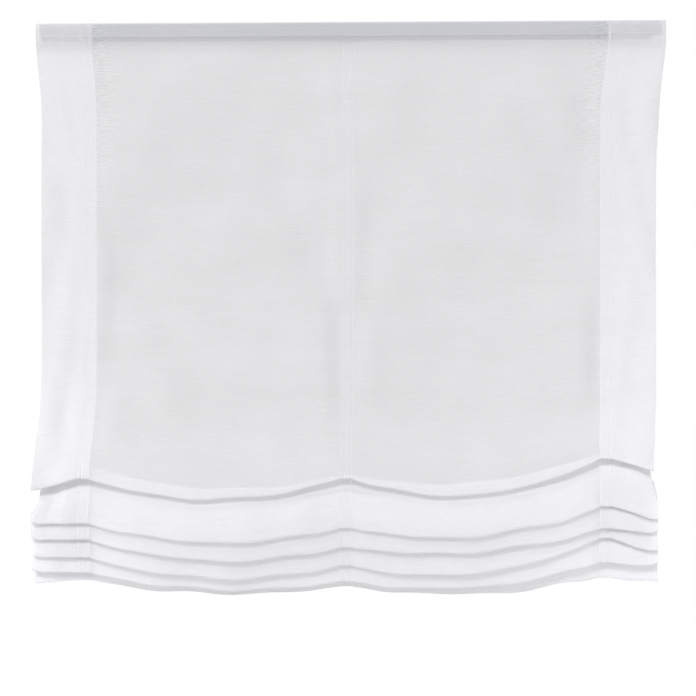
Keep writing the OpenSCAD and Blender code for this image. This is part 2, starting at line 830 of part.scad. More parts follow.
// Turning lock: a finger lever over the arm, a pin through it and a lobe under the rear lip
module bracket_lever(x) {
    lobe_w = 6;
    color("lightgray")
        translate([x, cam_y, 0]) {
            translate([0, 0, arm_z + seat_gap])
                linear_extrude(lever_t) {
                    circle(d = lever_w);
                    translate([0, -lever_w / 2])
                        square([lever_len - lever_w / 2, lever_w]);
                    translate([lever_len - lever_w / 2, 0])
                        circle(d = lever_w);
                }
            translate([0, 0, catch_z - cam_t])
                cylinder(r = cam_pin_r, h = arm_z + seat_gap + lever_t - catch_z + cam_t);
            translate([0, 0, catch_z - cam_t])
                linear_extrude(cam_t) {
                    circle(r = cam_r);
                    translate([-lobe_w / 2, 0])
                        square([lobe_w, cam_lobe - 1]);
                    translate([-lobe_w / 2 + 1, 0])
                        square([lobe_w - 2, cam_lobe]);
                    for (s = [-1, 1])
                        translate([s * (lobe_w / 2 - 1), cam_lobe - 1])
                            circle(r = 1);
                }
        }
}

fabric_panel();
loop_tape();
hook_tape();
gather_tape(LEFT);  // gather_tape_left
gather_tape(CENTRE);  // gather_tape_centre
gather_tape(RIGHT);  // gather_tape_right
rings(LEFT);  // rings_left
rings(CENTRE);  // rings_centre
rings(RIGHT);  // rings_right
lift_cord(LEFT);  // lift_cord_left
lift_cord(CENTRE);  // lift_cord_centre
lift_cord(RIGHT);  // lift_cord_right
cord_stop(LEFT);  // cord_stop_left
cord_stop(CENTRE);  // cord_stop_centre
cord_stop(RIGHT);  // cord_stop_right
head_rail();
end_cap();
spool(LEFT);  // spool_left
spool(CENTRE);  // spool_centre
spool(RIGHT);  // spool_right
winding(LEFT);  // winding_left
winding(CENTRE);  // winding_centre
winding(RIGHT);  // winding_right
cradle(LEFT);  // cradle_left
cradle(CENTRE);  // cradle_centre
cradle(RIGHT);  // cradle_right
drive_shaft();
drive_housing();
chain_wheel();
brake_spring();
drive_cover();
cover_screws();
wall_bracket(-bracket_x);  // bracket_left
wall_bracket(bracket_x);  // bracket_right
bracket_lever(-bracket_x);  // bracket_lever_left
bracket_lever(bracket_x);  // bracket_lever_right
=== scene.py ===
"""Looks of a Roman blind of sheer slub voile, partly raised into swagged folds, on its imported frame."""

import math

import bpy
import numpy as np
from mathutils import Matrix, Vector


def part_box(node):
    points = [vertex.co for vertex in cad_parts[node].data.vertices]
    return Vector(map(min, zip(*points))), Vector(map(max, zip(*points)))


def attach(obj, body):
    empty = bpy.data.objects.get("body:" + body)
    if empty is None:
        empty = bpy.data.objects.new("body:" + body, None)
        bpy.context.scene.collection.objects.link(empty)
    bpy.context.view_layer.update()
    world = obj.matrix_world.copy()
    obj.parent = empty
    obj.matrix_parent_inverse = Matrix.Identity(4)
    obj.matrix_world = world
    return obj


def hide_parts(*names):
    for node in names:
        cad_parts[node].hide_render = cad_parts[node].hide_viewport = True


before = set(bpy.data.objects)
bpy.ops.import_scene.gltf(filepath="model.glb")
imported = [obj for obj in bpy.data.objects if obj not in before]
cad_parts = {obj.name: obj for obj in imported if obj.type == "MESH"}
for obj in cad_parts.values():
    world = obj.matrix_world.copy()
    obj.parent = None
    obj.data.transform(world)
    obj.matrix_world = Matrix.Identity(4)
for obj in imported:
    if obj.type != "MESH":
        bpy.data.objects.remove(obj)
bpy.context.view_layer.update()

MM = 0.001
LEFT, CENTRE, RIGHT = 0, 1, 2
SIDES = ("left", "centre", "right")

# Places taken from the frame, in millimetres
PANEL_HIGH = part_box("fabric_panel")[1]
HALF_W = round(PANEL_HIGH.x / MM, 1)
HEAD_Z = round(PANEL_HIGH.z / MM, 1)
LOOP_LOW, LOOP_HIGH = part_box("loop_tape")
RAIL_LOW, RAIL_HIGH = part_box("head_rail")
AXIS_Y = (RAIL_LOW.y + RAIL_HIGH.y) / 2 / MM
AXIS_Z = (RAIL_LOW.z + RAIL_HIGH.z) / 2 / MM

# Cloth, in millimetres
CLOTH_T = 0.8
CLOTH_Y = LOOP_LOW.y / MM - CLOTH_T / 2
SIDE_HEM_W = 90
TAPE_HALF = 9.5
HEM_IN = HALF_W - SIDE_HEM_W
SIDE_X = HEM_IN + TAPE_HALF
TAPE_X = (-SIDE_X, 0, SIDE_X)
HEAD_BAND = 28
HEM_LAYER = 0.9
TURNED_LAYER = 0.45
TURNED_W = 3
TURN_BULGE = 0.22
HEM_EDGE = 8

# Folds, in millimetres
STACK_DROP = 707
RING_PITCH = 27
LOOP_LEN = 150
HEM_DROP = 73
FRONT_RETURN = 4
SWAG_DROP = 36
STACK_SWAG = 27
SWAG_STEP = 2
FOLD_R = 2.8
VALLEY_R = 1.8
FIRST_LEAN = 15
LOOP_GAP = 2.6
BELLY_H = 130
HEM_LEAN = 3
LOOP_LOSS = 3
FRONT_GAP = 15
SWAG_FRONT_GAP = 11
SWAG_POWER = 0.85
SWAG_ROUND = 0.5
SWAG_BULGE = 0.25
TAIL_DROP = 18
STACK_UNEVEN = (0, 12, -23)
TIER_UNEVEN = ((9, 2, 1, 3, 1, -1), (-4, -4, 0, 2, 1, -5), (-1, -4, 4, -7, 5, 15))
SWAG_UNEVEN = ((-4, -2, 1, 3, -1, -2), (4, 1, -4, 10, 3, 0))
TAIL_SHARE = ((1, 0.2, 0.2, 0.1, 0, 0.3), (1, 1.2, 0.45, 1.4, 0.45, 0.5))
# Soft waves of the front layer: length across, length down, phase in degrees
WAVE_H = 2.5
FRONT_WAVES = ((319, 460, 352), (514, 569, 180), (-369, 308, 190), (-469, 490, 24), (-435, 647, 125))
WAVE_CLEAR = 34
WAVE_START = 70
WAVE_END = 60
TIERS = 6
HEM_TIER = TIERS - 1

# Rows and columns of the cloth's grid
HEAD_ROWS = (0, 3, 6, 10, 14, 18, 20, 21.5, 23, 24.5, 26, HEAD_BAND, 30, 33, 37, 42, 47)
FRONT_START = 53
FRONT_ROWS = 84
BELLY_ROWS = 22
LEAF_ROWS = 14
BEND_ROWS = 9
RETURN_ROWS = 9
VALLEY_ROWS = 7
HEAD_HEM_ROWS = 2
BOTTOM_HEM_ROWS = 3
TAPE_END_ROWS = 5
CENTRE_COLS = 9
SWAG_COLS = 46
TAPE_COLS = 17
TAIL_COLS = 13

# Sideways draw of the hanging cloth, in millimetres
WAIST = {LEFT: 9.5, RIGHT: 16}
FOOT = {LEFT: 1, RIGHT: 20}
SWAY = 5
WAIST_DROP = 150
TAIL_PINCH = {LEFT: (12, 757, 28), RIGHT: (4, 716, 40)}
TAIL_SLIP = {LEFT: (0, 2, 2, 1.5, 4, 2), RIGHT: (-3, 3, 3.5, 2.5, 5, 6)}
TAIL_CORNER = 16
# The right hem stands out a little below the head: how far, at which drop, over which height
HEM_FLARE = (5, 140, 55)
TAIL_START = 15
TAIL_SPREAD = 65
PINCH_START = 45
SLIP_START = 60

# Fine relief of the cloth, in millimetres
PANEL_RIPPLE = 1.1
HEM_RIPPLE = 1.3
EDGE_RIPPLE = 1.1
EDGE_CLEAR = 60
EDGE_START = 560
EDGE_RISE = 120
HEAD_CREASE = 0.55
HEM_STANDS = 0.75
CREASE_RISE = 5
CREASE_END = 20
CREASE_FADE = 60
TAPE_PUCKER = 0.22
PUCKER_REACH = 22
PUCKER_CLEAR = 6
# Each set of waves: shortest and longest across, shortest and longest down, and how many are summed
PANEL_WAVES = ((70, 170), (180, 420), 8)
HEM_WAVES = ((45, 110), (160, 420), 8)
EDGE_WAVES = ((60, 190), (150, 320), 8)
CREASE_WAVES = ((14, 36), (25, 90), 8)
PUCKER_WAVES = ((40, 90), (7, 15), 7)
# The cloth falls back below the loop tape, less in the hems, and below the hook tape, then comes forward
LOOP_FALL = 0.9
HEM_HOLD = 0.6
LOOP_FALL_H = 3.5
HOOK_FALL = 4.2
HOOK_FALL_H = 20
FALL_END = 48
FALL_FADE = 80
# Pleats on the tapes above each fold, and longer ones on the first tier
PLEAT_W = 5.2
PLEAT_H = 0.5
PLEAT_RISE = 11
LONG_PLEAT_H = 0.25
LONG_PLEAT_RISE = 38
PLEAT_UNDER = 3
PLEAT_EDGE = 2
# Tail corners turn up: first tier, other tiers, and how far along the cloth
FIRST_CORNER = 0.5
LOWER_CORNER = 4
CORNER_REACH = 14

# Rings, cords and spools, in millimetres
RING_FIRST = 125
RING_WIRE = 1.6
CORD_D = 1.2
STOP_LEN = 12
SEAT_GAP = 0.2
GATHER_TAPE_T = 0.5
SEW_GAP = 0.1
TAPE_HEAD_GAP = 2
CORD_SIDES = 12
CORD_SEGMENT = 12
RAIL_CLEAR = 4
CORD_TURNS = 11
TURN_PITCH = 0.95 * CORD_D
TURN_STEPS = 32
TURN_GAP = 0.1

rng = np.random.RandomState(7)


# Shared helpers for nodes and meshes


def linear(hex_colour):
    """sRGB hex to linear RGBA."""
    parts = [int(hex_colour[i : i + 2], 16) / 255 for i in (1, 3, 5)]
    return (*[c / 12.92 if c <= 0.04045 else ((c + 0.055) / 1.055) ** 2.4 for c in parts], 1.0)


def add(tree, kind, inputs=None, **settings):
    """Adds a node with its settings. inputs gives each socket a value, or an output to link to it."""
    made = tree.nodes.new(kind)
    for name, value in settings.items():
        setattr(made, name, value)
    for socket, value in (inputs or {}).items():
        if isinstance(value, bpy.types.NodeSocket):
            tree.links.new(value, made.inputs[socket])
        else:
            made.inputs[socket].default_value = value
    return made


def new_material(name):
    """An empty material and its node tree."""
    material = bpy.data.materials.new(name)
    material.use_nodes = True
    material.node_tree.nodes.clear()
    return material, material.node_tree


def streaks(tree, coords, across_mm, along_mm, detail=2.0, seed=0.0):
    """Streaky noise: across_mm is its grain along the first axis, along_mm along the others."""
    grain = (1 / (across_mm * MM), 1 / (along_mm * MM), 1 / (along_mm * MM))
    spread = {"Vector": coords, "Location": (seed, seed, seed), "Scale": grain}
    drawn_out = add(tree, "ShaderNodeMapping", spread).outputs[0]
    noise = {"Vector": drawn_out, "Scale": 1.0, "Detail": detail}
    return add(tree, "ShaderNodeTexNoise", noise).outputs["Fac"]


def mesh_object(name, points_mm, faces, material, body="blind"):
    """A smooth mesh that rides on a body."""
    mesh = bpy.data.meshes.new(name)
    mesh.from_pydata((np.asarray(points_mm) * MM).tolist(), [], faces)
    mesh.polygons.foreach_set("use_smooth", [True] * len(mesh.polygons))
    mesh.materials.append(material)
    mesh.update()
    made = bpy.data.objects.new(name, mesh)
    bpy.context.scene.collection.objects.link(made)
    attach(made, body)
    return made


def grid_faces(rows, cols):
    """Quads of a grid whose points run row by row."""
    at = np.arange(rows * cols).reshape(rows, cols)
    quads = np.stack([at[:-1, :-1], at[1:, :-1], at[1:, 1:], at[:-1, 1:]], axis=-1)
    return quads.reshape(-1, 4).tolist()


def set_uv(made, uv_by_point):
    """A UV map in metres on the flat cloth, tape or cord."""
    layer = made.data.uv_layers.new(name="flat")
    corners = np.zeros(len(made.data.loops), np.int32)
    made.data.loops.foreach_get("vertex_index", corners)
    layer.data.foreach_set("uv", (np.asarray(uv_by_point) * MM)[corners].ravel().astype(np.float32))


# Materials

# Share of the voile's area that is yarn, and of the yarn's light that passes through it
VOILE_COVER = 0.56
VOILE_GLOW = 0.12
# The wave texture turns by this many radians for each unit of its scale
WAVE_RADIANS = 20
# Streaky noise mostly lies between these values
NOISE_LOW, NOISE_HIGH = 0.3, 0.7


def hem_puckers(tree, flat):
    """Change in cover where the side hems' seams gather the weft into short hairs, mostly near the head."""
    place = add(tree, "ShaderNodeSeparateXYZ", {"Vector": flat})
    off = add(tree, "ShaderNodeMath", {0: place.outputs["X"]}, operation="ABSOLUTE").outputs[0]
    weft = streaks(tree, flat, across_mm=13, along_mm=2.4, seed=7.0)
    inputs = {"Value": weft, "From Min": 0.38, "From Max": 0.62, "To Min": -0.07, "To Max": 0.07}
    hairs = add(tree, "ShaderNodeMapRange", inputs).outputs["Result"]
    # They start beside the seam, end at it and fade down the cloth: two places in mm, the shares there
    limits = (
        (off, HEM_IN - 50, HEM_IN - 15, 0, 1),
        (off, HEM_IN - 2, HEM_IN, 1, 0),
        (place.outputs["Y"], -360, -60, 0, 1),
    )
    for value, start, end, at_start, at_end in limits:
        inputs = {"Value": value, "From Min": start * MM, "From Max": end * MM}
        inputs |= {"To Min": at_start, "To Max": at_end}
        share = add(tree, "ShaderNodeMapRange", inputs).outputs["Result"]
        hairs = add(tree, "ShaderNodeMath", {0: hairs, 1: share}, operation="MULTIPLY").outputs[0]
    return hairs


def slub_voile():
    """Polyester voile with a slub weft: sheer and matt, with uneven streaks where the yarn is thicker."""
    material, tree = new_material("slub_voile")
    flat = add(tree, "ShaderNodeUVMap", uv_map="flat").outputs["UV"]
    # Slubs are 0.3 mm of thicker yarn; they are drawn about 1.5 mm high to show at this distance
    slub = streaks(tree, flat, across_mm=55, along_mm=1.6, detail=3.0)
    fleck = streaks(tree, flat, across_mm=16, along_mm=1.1, seed=4.0)
    density = streaks(tree, flat, across_mm=200, along_mm=70, seed=2.0)
    # Each unevenness of the yarn: its noise from and to, and the cover that it adds there
    uneven = (
        (slub, NOISE_LOW, NOISE_HIGH, -0.018, 0.018),
        (fleck, 0.58, 0.75, 0, 0.08),
        (density, NOISE_LOW, NOISE_HIGH, -0.035, 0.035),
    )
    cover = VOILE_COVER
    for pattern, low, high, at_low, at_high in uneven:
        inputs = {"Value": pattern, "From Min": low, "From Max": high, "To Min": at_low, "To Max": at_high}
        more = add(tree, "ShaderNodeMapRange", inputs).outputs["Result"]
        cover = add(tree, "ShaderNodeMath", {0: more, 1: cover}, operation="ADD").outputs[0]
    inputs = {0: hem_puckers(tree, flat), 1: cover}
    cover = add(tree, "ShaderNodeMath", inputs, operation="ADD", use_clamp=True).outputs[0]
    relief = add(tree, "ShaderNodeBump", {"Height": slub, "Strength": 0.08, "Distance": 0.3 * MM}).outputs[0]
    thread = add(
        tree, "ShaderNodeBsdfPrincipled",
        {
            "Base Color": linear("#F5F4F6"), "Roughness": 0.75, "Specular IOR Level": 0.25,
            "Sheen Weight": 0.1, "Normal": relief,
        },
    )
    glow = add(tree, "ShaderNodeBsdfTranslucent", {"Color": linear("#F5F4F6"), "Normal": relief})
    yarn = add(tree, "ShaderNodeMixShader", {0: VOILE_GLOW, 1: thread.outputs[0], 2: glow.outputs[0]})
    gaps = add(tree, "ShaderNodeBsdfTransparent")
    cloth = add(tree, "ShaderNodeMixShader", {0: cover, 1: gaps.outputs[0], 2: yarn.outputs[0]})
    add(tree, "ShaderNodeOutputMaterial", {"Surface": cloth.outputs[0]})
    return material


def slanting_bands(tree, flat, degrees, pitch_mm, distortion=0.0):
    """Bands across the flat cloth, pitch_mm apart, turned by some degrees."""
    slant = add(tree, "ShaderNodeMapping", {"Vector": flat, "Rotation": (0, 0, math.radians(degrees))})
    inputs = {
        "Vector": slant.outputs[0], "Scale": 2 * math.pi / (WAVE_RADIANS * pitch_mm * MM),
        "Distortion": distortion,
    }
    return add(tree, "ShaderNodeTexWave", inputs, wave_type="BANDS").outputs["Fac"]


def gather_tape():
    """Sheer polyester gather tape: only its firmer edges and fine slanting ribs show through the cloth."""
    material, tree = new_material("sheer_gather_tape")
    flat = add(tree, "ShaderNodeUVMap", uv_map="flat").outputs["UV"]
    # Ribs 0.5 mm apart are drawn 1.4 mm apart to show
    ribs = slanting_bands(tree, flat, 35, pitch_mm=1.4, distortion=0.6)
    relief = add(tree, "ShaderNodeBump", {"Height": ribs, "Strength": 0.4, "Distance": 0.2 * MM}).outputs[0]
    place = add(tree, "ShaderNodeSeparateXYZ", {"Vector": flat}).outputs["X"]
    off = add(tree, "ShaderNodeMath", {0: place}, operation="ABSOLUTE").outputs[0]
    # Each part of the weave: the pattern from and to, and its cover there
    parts = (
        (off, (TAPE_HALF - 1.4) * MM, (TAPE_HALF - 0.8) * MM, 0.03, 0.25),
        (ribs, 0.3, 0.7, 0, 0.03),
    )
    cover = 0
    for pattern, low, high, at_low, at_high in parts:
        inputs = {"Value": pattern, "From Min": low, "From Max": high, "To Min": at_low, "To Max": at_high}
        more = add(tree, "ShaderNodeMapRange", inputs).outputs["Result"]
        cover = add(tree, "ShaderNodeMath", {0: more, 1: cover}, operation="ADD").outputs[0]
    weave = add(
        tree, "ShaderNodeBsdfPrincipled",
        {"Base Color": linear("#F2F2F4"), "Roughness": 0.7, "Specular IOR Level": 0.3, "Normal": relief},
    )
    glow = add(tree, "ShaderNodeBsdfTranslucent", {"Color": linear("#F2F2F4")})
    yarn = add(tree, "ShaderNodeMixShader", {0: 0.3, 1: weave.outputs[0], 2: glow.outputs[0]})
    gaps = add(tree, "ShaderNodeBsdfTransparent")
    surface = add(tree, "ShaderNodeMixShader", {0: cover, 1: gaps.outputs[0], 2: yarn.outputs[0]})
    add(tree, "ShaderNodeOutputMaterial", {"Surface": surface.outputs[0]})
    return material


def pile_tape(name, hollow_shade_colour, pile_top_colour, grain_mm, depth_mm):
    """Nylon touch-and-close tape: a field of tiny loops or hooks that breaks the light into specks, with
    painted shade in the hollows between them.
    """
    material, tree = new_material(name)
    place = add(tree, "ShaderNodeTexCoord").outputs["Object"]
    pile = add(
        tree, "ShaderNodeTexVoronoi", {"Vector": place, "Scale": 1 / (grain_mm * MM), "Randomness": 0.6}
    ).outputs["Distance"]
    inputs = {"Height": pile, "Strength": 0.7, "Distance": depth_mm * MM}
    relief = add(tree, "ShaderNodeBump", inputs, invert=True).outputs[0]
    # Painted shade: the colour runs from the lighter tops of the pile to a darker colour in its hollows
    inputs = {"Factor": pile, 6: linear(pile_top_colour), 7: linear(hollow_shade_colour)}
    shade = add(tree, "ShaderNodeMix", inputs, data_type="RGBA").outputs[2]
    inputs = {"Base Color": shade, "Roughness": 0.7, "Normal": relief}
    surface = add(tree, "ShaderNodeBsdfPrincipled", inputs)
    add(tree, "ShaderNodeOutputMaterial", {"Surface": surface.outputs[0]})
    return material


def clear_ring_plastic():
    """Injection-moulded clear polycarbonate: bright rims, with the tape showing through."""
    material, tree = new_material("clear_polycarbonate")
    place = add(tree, "ShaderNodeTexCoord").outputs["Object"]
    haze = streaks(tree, place, across_mm=2, along_mm=2)
    inputs = {"Value": haze, "From Min": NOISE_LOW, "From Max": NOISE_HIGH, "To Min": 0.08, "To Max": 0.2}
    dull = add(tree, "ShaderNodeMapRange", inputs).outputs["Result"]
    surface = add(
        tree, "ShaderNodeBsdfPrincipled",
        {"Base Color": linear("#F3F6F8"), "Roughness": dull, "IOR": 1.58, "Transmission Weight": 0.9},
    )
    add(tree, "ShaderNodeOutputMaterial", {"Surface": surface.outputs[0]})
    return material


def braided_cord():
    """Polyester lift cord in a round braid: small crossing bumps with painted shade in the grooves between
    them, and a soft shine along the yarn.
    """
    material, tree = new_material("braided_polyester_cord")
    flat = add(tree, "ShaderNodeUVMap", uv_map="flat").outputs["UV"]
    strands = [slanting_bands(tree, flat, degrees, pitch_mm=0.9) for degrees in (-40, 40)]
    bumps = add(tree, "ShaderNodeMath", dict(enumerate(strands)), operation="MAXIMUM").outputs[0]
    inputs = {"Height": bumps, "Strength": 0.6, "Distance": 0.15 * MM}
    relief = add(tree, "ShaderNodeBump", inputs).outputs[0]
    # Painted shade: darker where the strands dip, lighter on their raised crossings
    inputs = {"Factor": bumps, 6: linear("#D9D9DA"), 7: linear("#F3F3F2")}
    shade = add(tree, "ShaderNodeMix", inputs, data_type="RGBA").outputs[2]
    surface = add(
        tree, "ShaderNodeBsdfPrincipled",
        {"Base Color": shade, "Roughness": 0.55, "Sheen Weight": 0.15, "Normal": relief},
    )
    add(tree, "ShaderNodeOutputMaterial", {"Surface": surface.outputs[0]})
    return material


def sewing_thread():
    """Spun polyester thread: plain white, with the twist of its two plies."""
    material, tree = new_material("spun_polyester_thread")
    place = add(tree, "ShaderNodeTexCoord").outputs["Object"]
    twist = streaks(tree, place, across_mm=0.4, along_mm=0.4)
    relief = add(tree, "ShaderNodeBump", {"Height": twist, "Strength": 0.4, "Distance": 0.1 * MM}).outputs[0]
    surface = add(
        tree, "ShaderNodeBsdfPrincipled",
        {"Base Color": linear("#F4F4F5"), "Roughness": 0.65, "Sheen Weight": 0.1, "Normal": relief},
    )
    add(tree, "ShaderNodeOutputMaterial", {"Surface": surface.outputs[0]})
    return material


def moulded_plastic(name, colour, roughness, grain_mm, see_in=0.0):
    """Injection-moulded plastic: a fine spark-eroded grain, a little duller where the mould is worn."""
    material, tree = new_material(name)
    place = add(tree, "ShaderNodeTexCoord").outputs["Object"]
    grain = streaks(tree, place, across_mm=grain_mm, along_mm=grain_mm, detail=4.0)
    patch = streaks(tree, place, across_mm=14, along_mm=14, seed=3.0)
    inputs = {"Height": grain, "Strength": 0.15, "Distance": 0.05 * MM}
    relief = add(tree, "ShaderNodeBump", inputs).outputs[0]
    inputs = {"Value": patch, "From Min": NOISE_LOW, "From Max": NOISE_HIGH}
    inputs |= {"To Min": roughness - 0.06, "To Max": roughness + 0.06}
    wear = add(tree, "ShaderNodeMapRange", inputs).outputs["Result"]
    surface = add(
        tree, "ShaderNodeBsdfPrincipled",
        {
            "Base Color": linear(colour), "Roughness": wear, "IOR": 1.5, "Subsurface Weight": see_in,
            "Subsurface Scale": 1.5 * MM, "Normal": relief,
        },
    )
    add(tree, "ShaderNodeOutputMaterial", {"Surface": surface.outputs[0]})
    return material


def drawn_metal(name, colour, roughness, line_mm, run_mm):
    """Metal that was pulled through a die: fine lines along its length, under a satin finish."""
    material, tree = new_material(name)
    place = add(tree, "ShaderNodeTexCoord").outputs["Object"]
    lines = streaks(tree, place, across_mm=run_mm, along_mm=line_mm, detail=3.0)
    inputs = {"Height": lines, "Strength": 0.12, "Distance": 0.05 * MM}
    relief = add(tree, "ShaderNodeBump", inputs).outputs[0]
    inputs = {"Value": lines, "From Min": NOISE_LOW, "From Max": NOISE_HIGH}
    inputs |= {"To Min": roughness - 0.07, "To Max": roughness + 0.07}
    satin = add(tree, "ShaderNodeMapRange", inputs).outputs["Result"]
    surface = add(
        tree, "ShaderNodeBsdfPrincipled",
        {"Base Color": linear(colour), "Metallic": 1.0, "Roughness": satin, "Normal": relief},
    )
    add(tree, "ShaderNodeOutputMaterial", {"Surface": surface.outputs[0]})
    return material


def powder_coat():
    """White polyester powder coat on steel: a faint orange peel under a soft gloss."""
    material, tree = new_material("powder_coated_steel")
    place = add(tree, "ShaderNodeTexCoord").outputs["Object"]
    peel = streaks(tree, place, across_mm=1.8, along_mm=1.8)
    relief = add(tree, "ShaderNodeBump", {"Height": peel, "Strength": 0.2, "Distance": 0.1 * MM}).outputs[0]
    inputs = {"Value": peel, "From Min": NOISE_LOW, "From Max": NOISE_HIGH, "To Min": 0.34, "To Max": 0.44}
    gloss = add(tree, "ShaderNodeMapRange", inputs).outputs["Result"]
    surface = add(
        tree, "ShaderNodeBsdfPrincipled",
        {
            "Base Color": linear("#E9E9EA"), "Roughness": gloss, "IOR": 1.5, "Coat Weight": 0.15,
            "Normal": relief,
        },
    )
    add(tree, "ShaderNodeOutputMaterial", {"Surface": surface.outputs[0]})
    return material


voile = slub_voile()
tape_weave = gather_tape()
cord_braid = braided_cord()
thread = sewing_thread()
nylon = moulded_plastic("moulded_nylon", "#E8E8E3", 0.42, grain_mm=0.5, see_in=0.2)
white_plastic = moulded_plastic("moulded_acetal", "#EFEFF0", 0.36, grain_mm=0.6)
bright_steel = drawn_metal("bright_drawn_steel", "#B4B7BC", 0.28, line_mm=0.5, run_mm=60)
zinc_plate = drawn_metal("zinc_plated_steel", "#C9CCD0", 0.3, line_mm=0.8, run_mm=6)

NODE_FINISHES = {
    pile_tape("knitted_loop_tape", "#989BA7", "#B4B8C4", grain_mm=0.9, depth_mm=0.4): ["loop_tape"],
    pile_tape("moulded_hook_tape", "#8E9198", "#ABAEB5", grain_mm=1.3, depth_mm=0.6): ["hook_tape"],
    clear_ring_plastic(): [f"rings_{s}" for s in SIDES],
    white_plastic: [f"cord_stop_{s}" for s in SIDES] + ["end_cap", "drive_housing", "drive_cover"],
    nylon: [f"spool_{s}" for s in SIDES] + [f"cradle_{s}" for s in SIDES] + ["chain_wheel"],
    drawn_metal("anodised_aluminium", "#9DA0A6", 0.38, line_mm=0.6, run_mm=120): ["head_rail"],
    bright_steel: ["drive_shaft", "brake_spring"],
    powder_coat(): ["bracket_left", "bracket_right"],
    zinc_plate: ["bracket_lever_left", "bracket_lever_right", "cover_screws"],
}
for finish, names in NODE_FINISHES.items():
    for name in names:
        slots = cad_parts[name].data.materials
        slots.clear()
        slots.append(finish)


# Cloth: the same folds as the solid panel, on a finer grid


def ease(t):
    """0 up to t = 0, then a smooth rise to 1 at t = 1."""
    s = np.clip(t, 0, 1)
    return s * s * (3 - 2 * s)


def swag_share(u):
    """Place between the centre tape, 0, and an outer tape, 1."""
    return np.clip((np.abs(u) - TAPE_HALF) / (HEM_IN - TAPE_HALF), 0, 1)


def swag(u):
    """Share of the sag between two tapes."""
    return np.maximum(0, np.sin(np.pi * swag_share(u))) ** SWAG_POWER


def tail(u):
    """Share of the fall of a tail, outside the outer tapes."""
    outer = SIDE_X + TAPE_HALF
    return np.maximum(0, (np.abs(u) - outer) / (HALF_W - outer))


def by_half(u, values):
    """The value for the left or the right half."""
    return np.where(u < 0, values[0], values[1])


def by_tape(u, values):
    """The values at the three tapes, joined by straight lines."""
    side = np.where(u < 0, values[LEFT], values[RIGHT])
    return values[CENTRE] + (side - values[CENTRE]) * swag_share(u)


def ring_drop(t, k):
    """Drop of the ring over tier k at a tape."""
    return STACK_DROP + STACK_UNEVEN[t] + RING_PITCH * k


def stack_swag(k):
    """Sag of a lower tier."""
    return STACK_SWAG - SWAG_STEP * (k - 1)


def tier_swag(k):
    """Sag of tier k's lower edge."""
    return SWAG_DROP if k == 0 else stack_swag(k)


def tier_drop_at(t, k):
    """Drop of tier k's lower edge at a tape."""
    if k == 0:
        even = ring_drop(t, 0) + VALLEY_R + FOLD_R + FRONT_RETURN
    elif k == HEM_TIER:
        even = ring_drop(t, k - 1) + HEM_DROP
    else:
        even = (ring_drop(t, k - 1) + ring_drop(t, k)) / 2 + LOOP_LEN / 2 - LOOP_LOSS
    return even + TIER_UNEVEN[t][k]


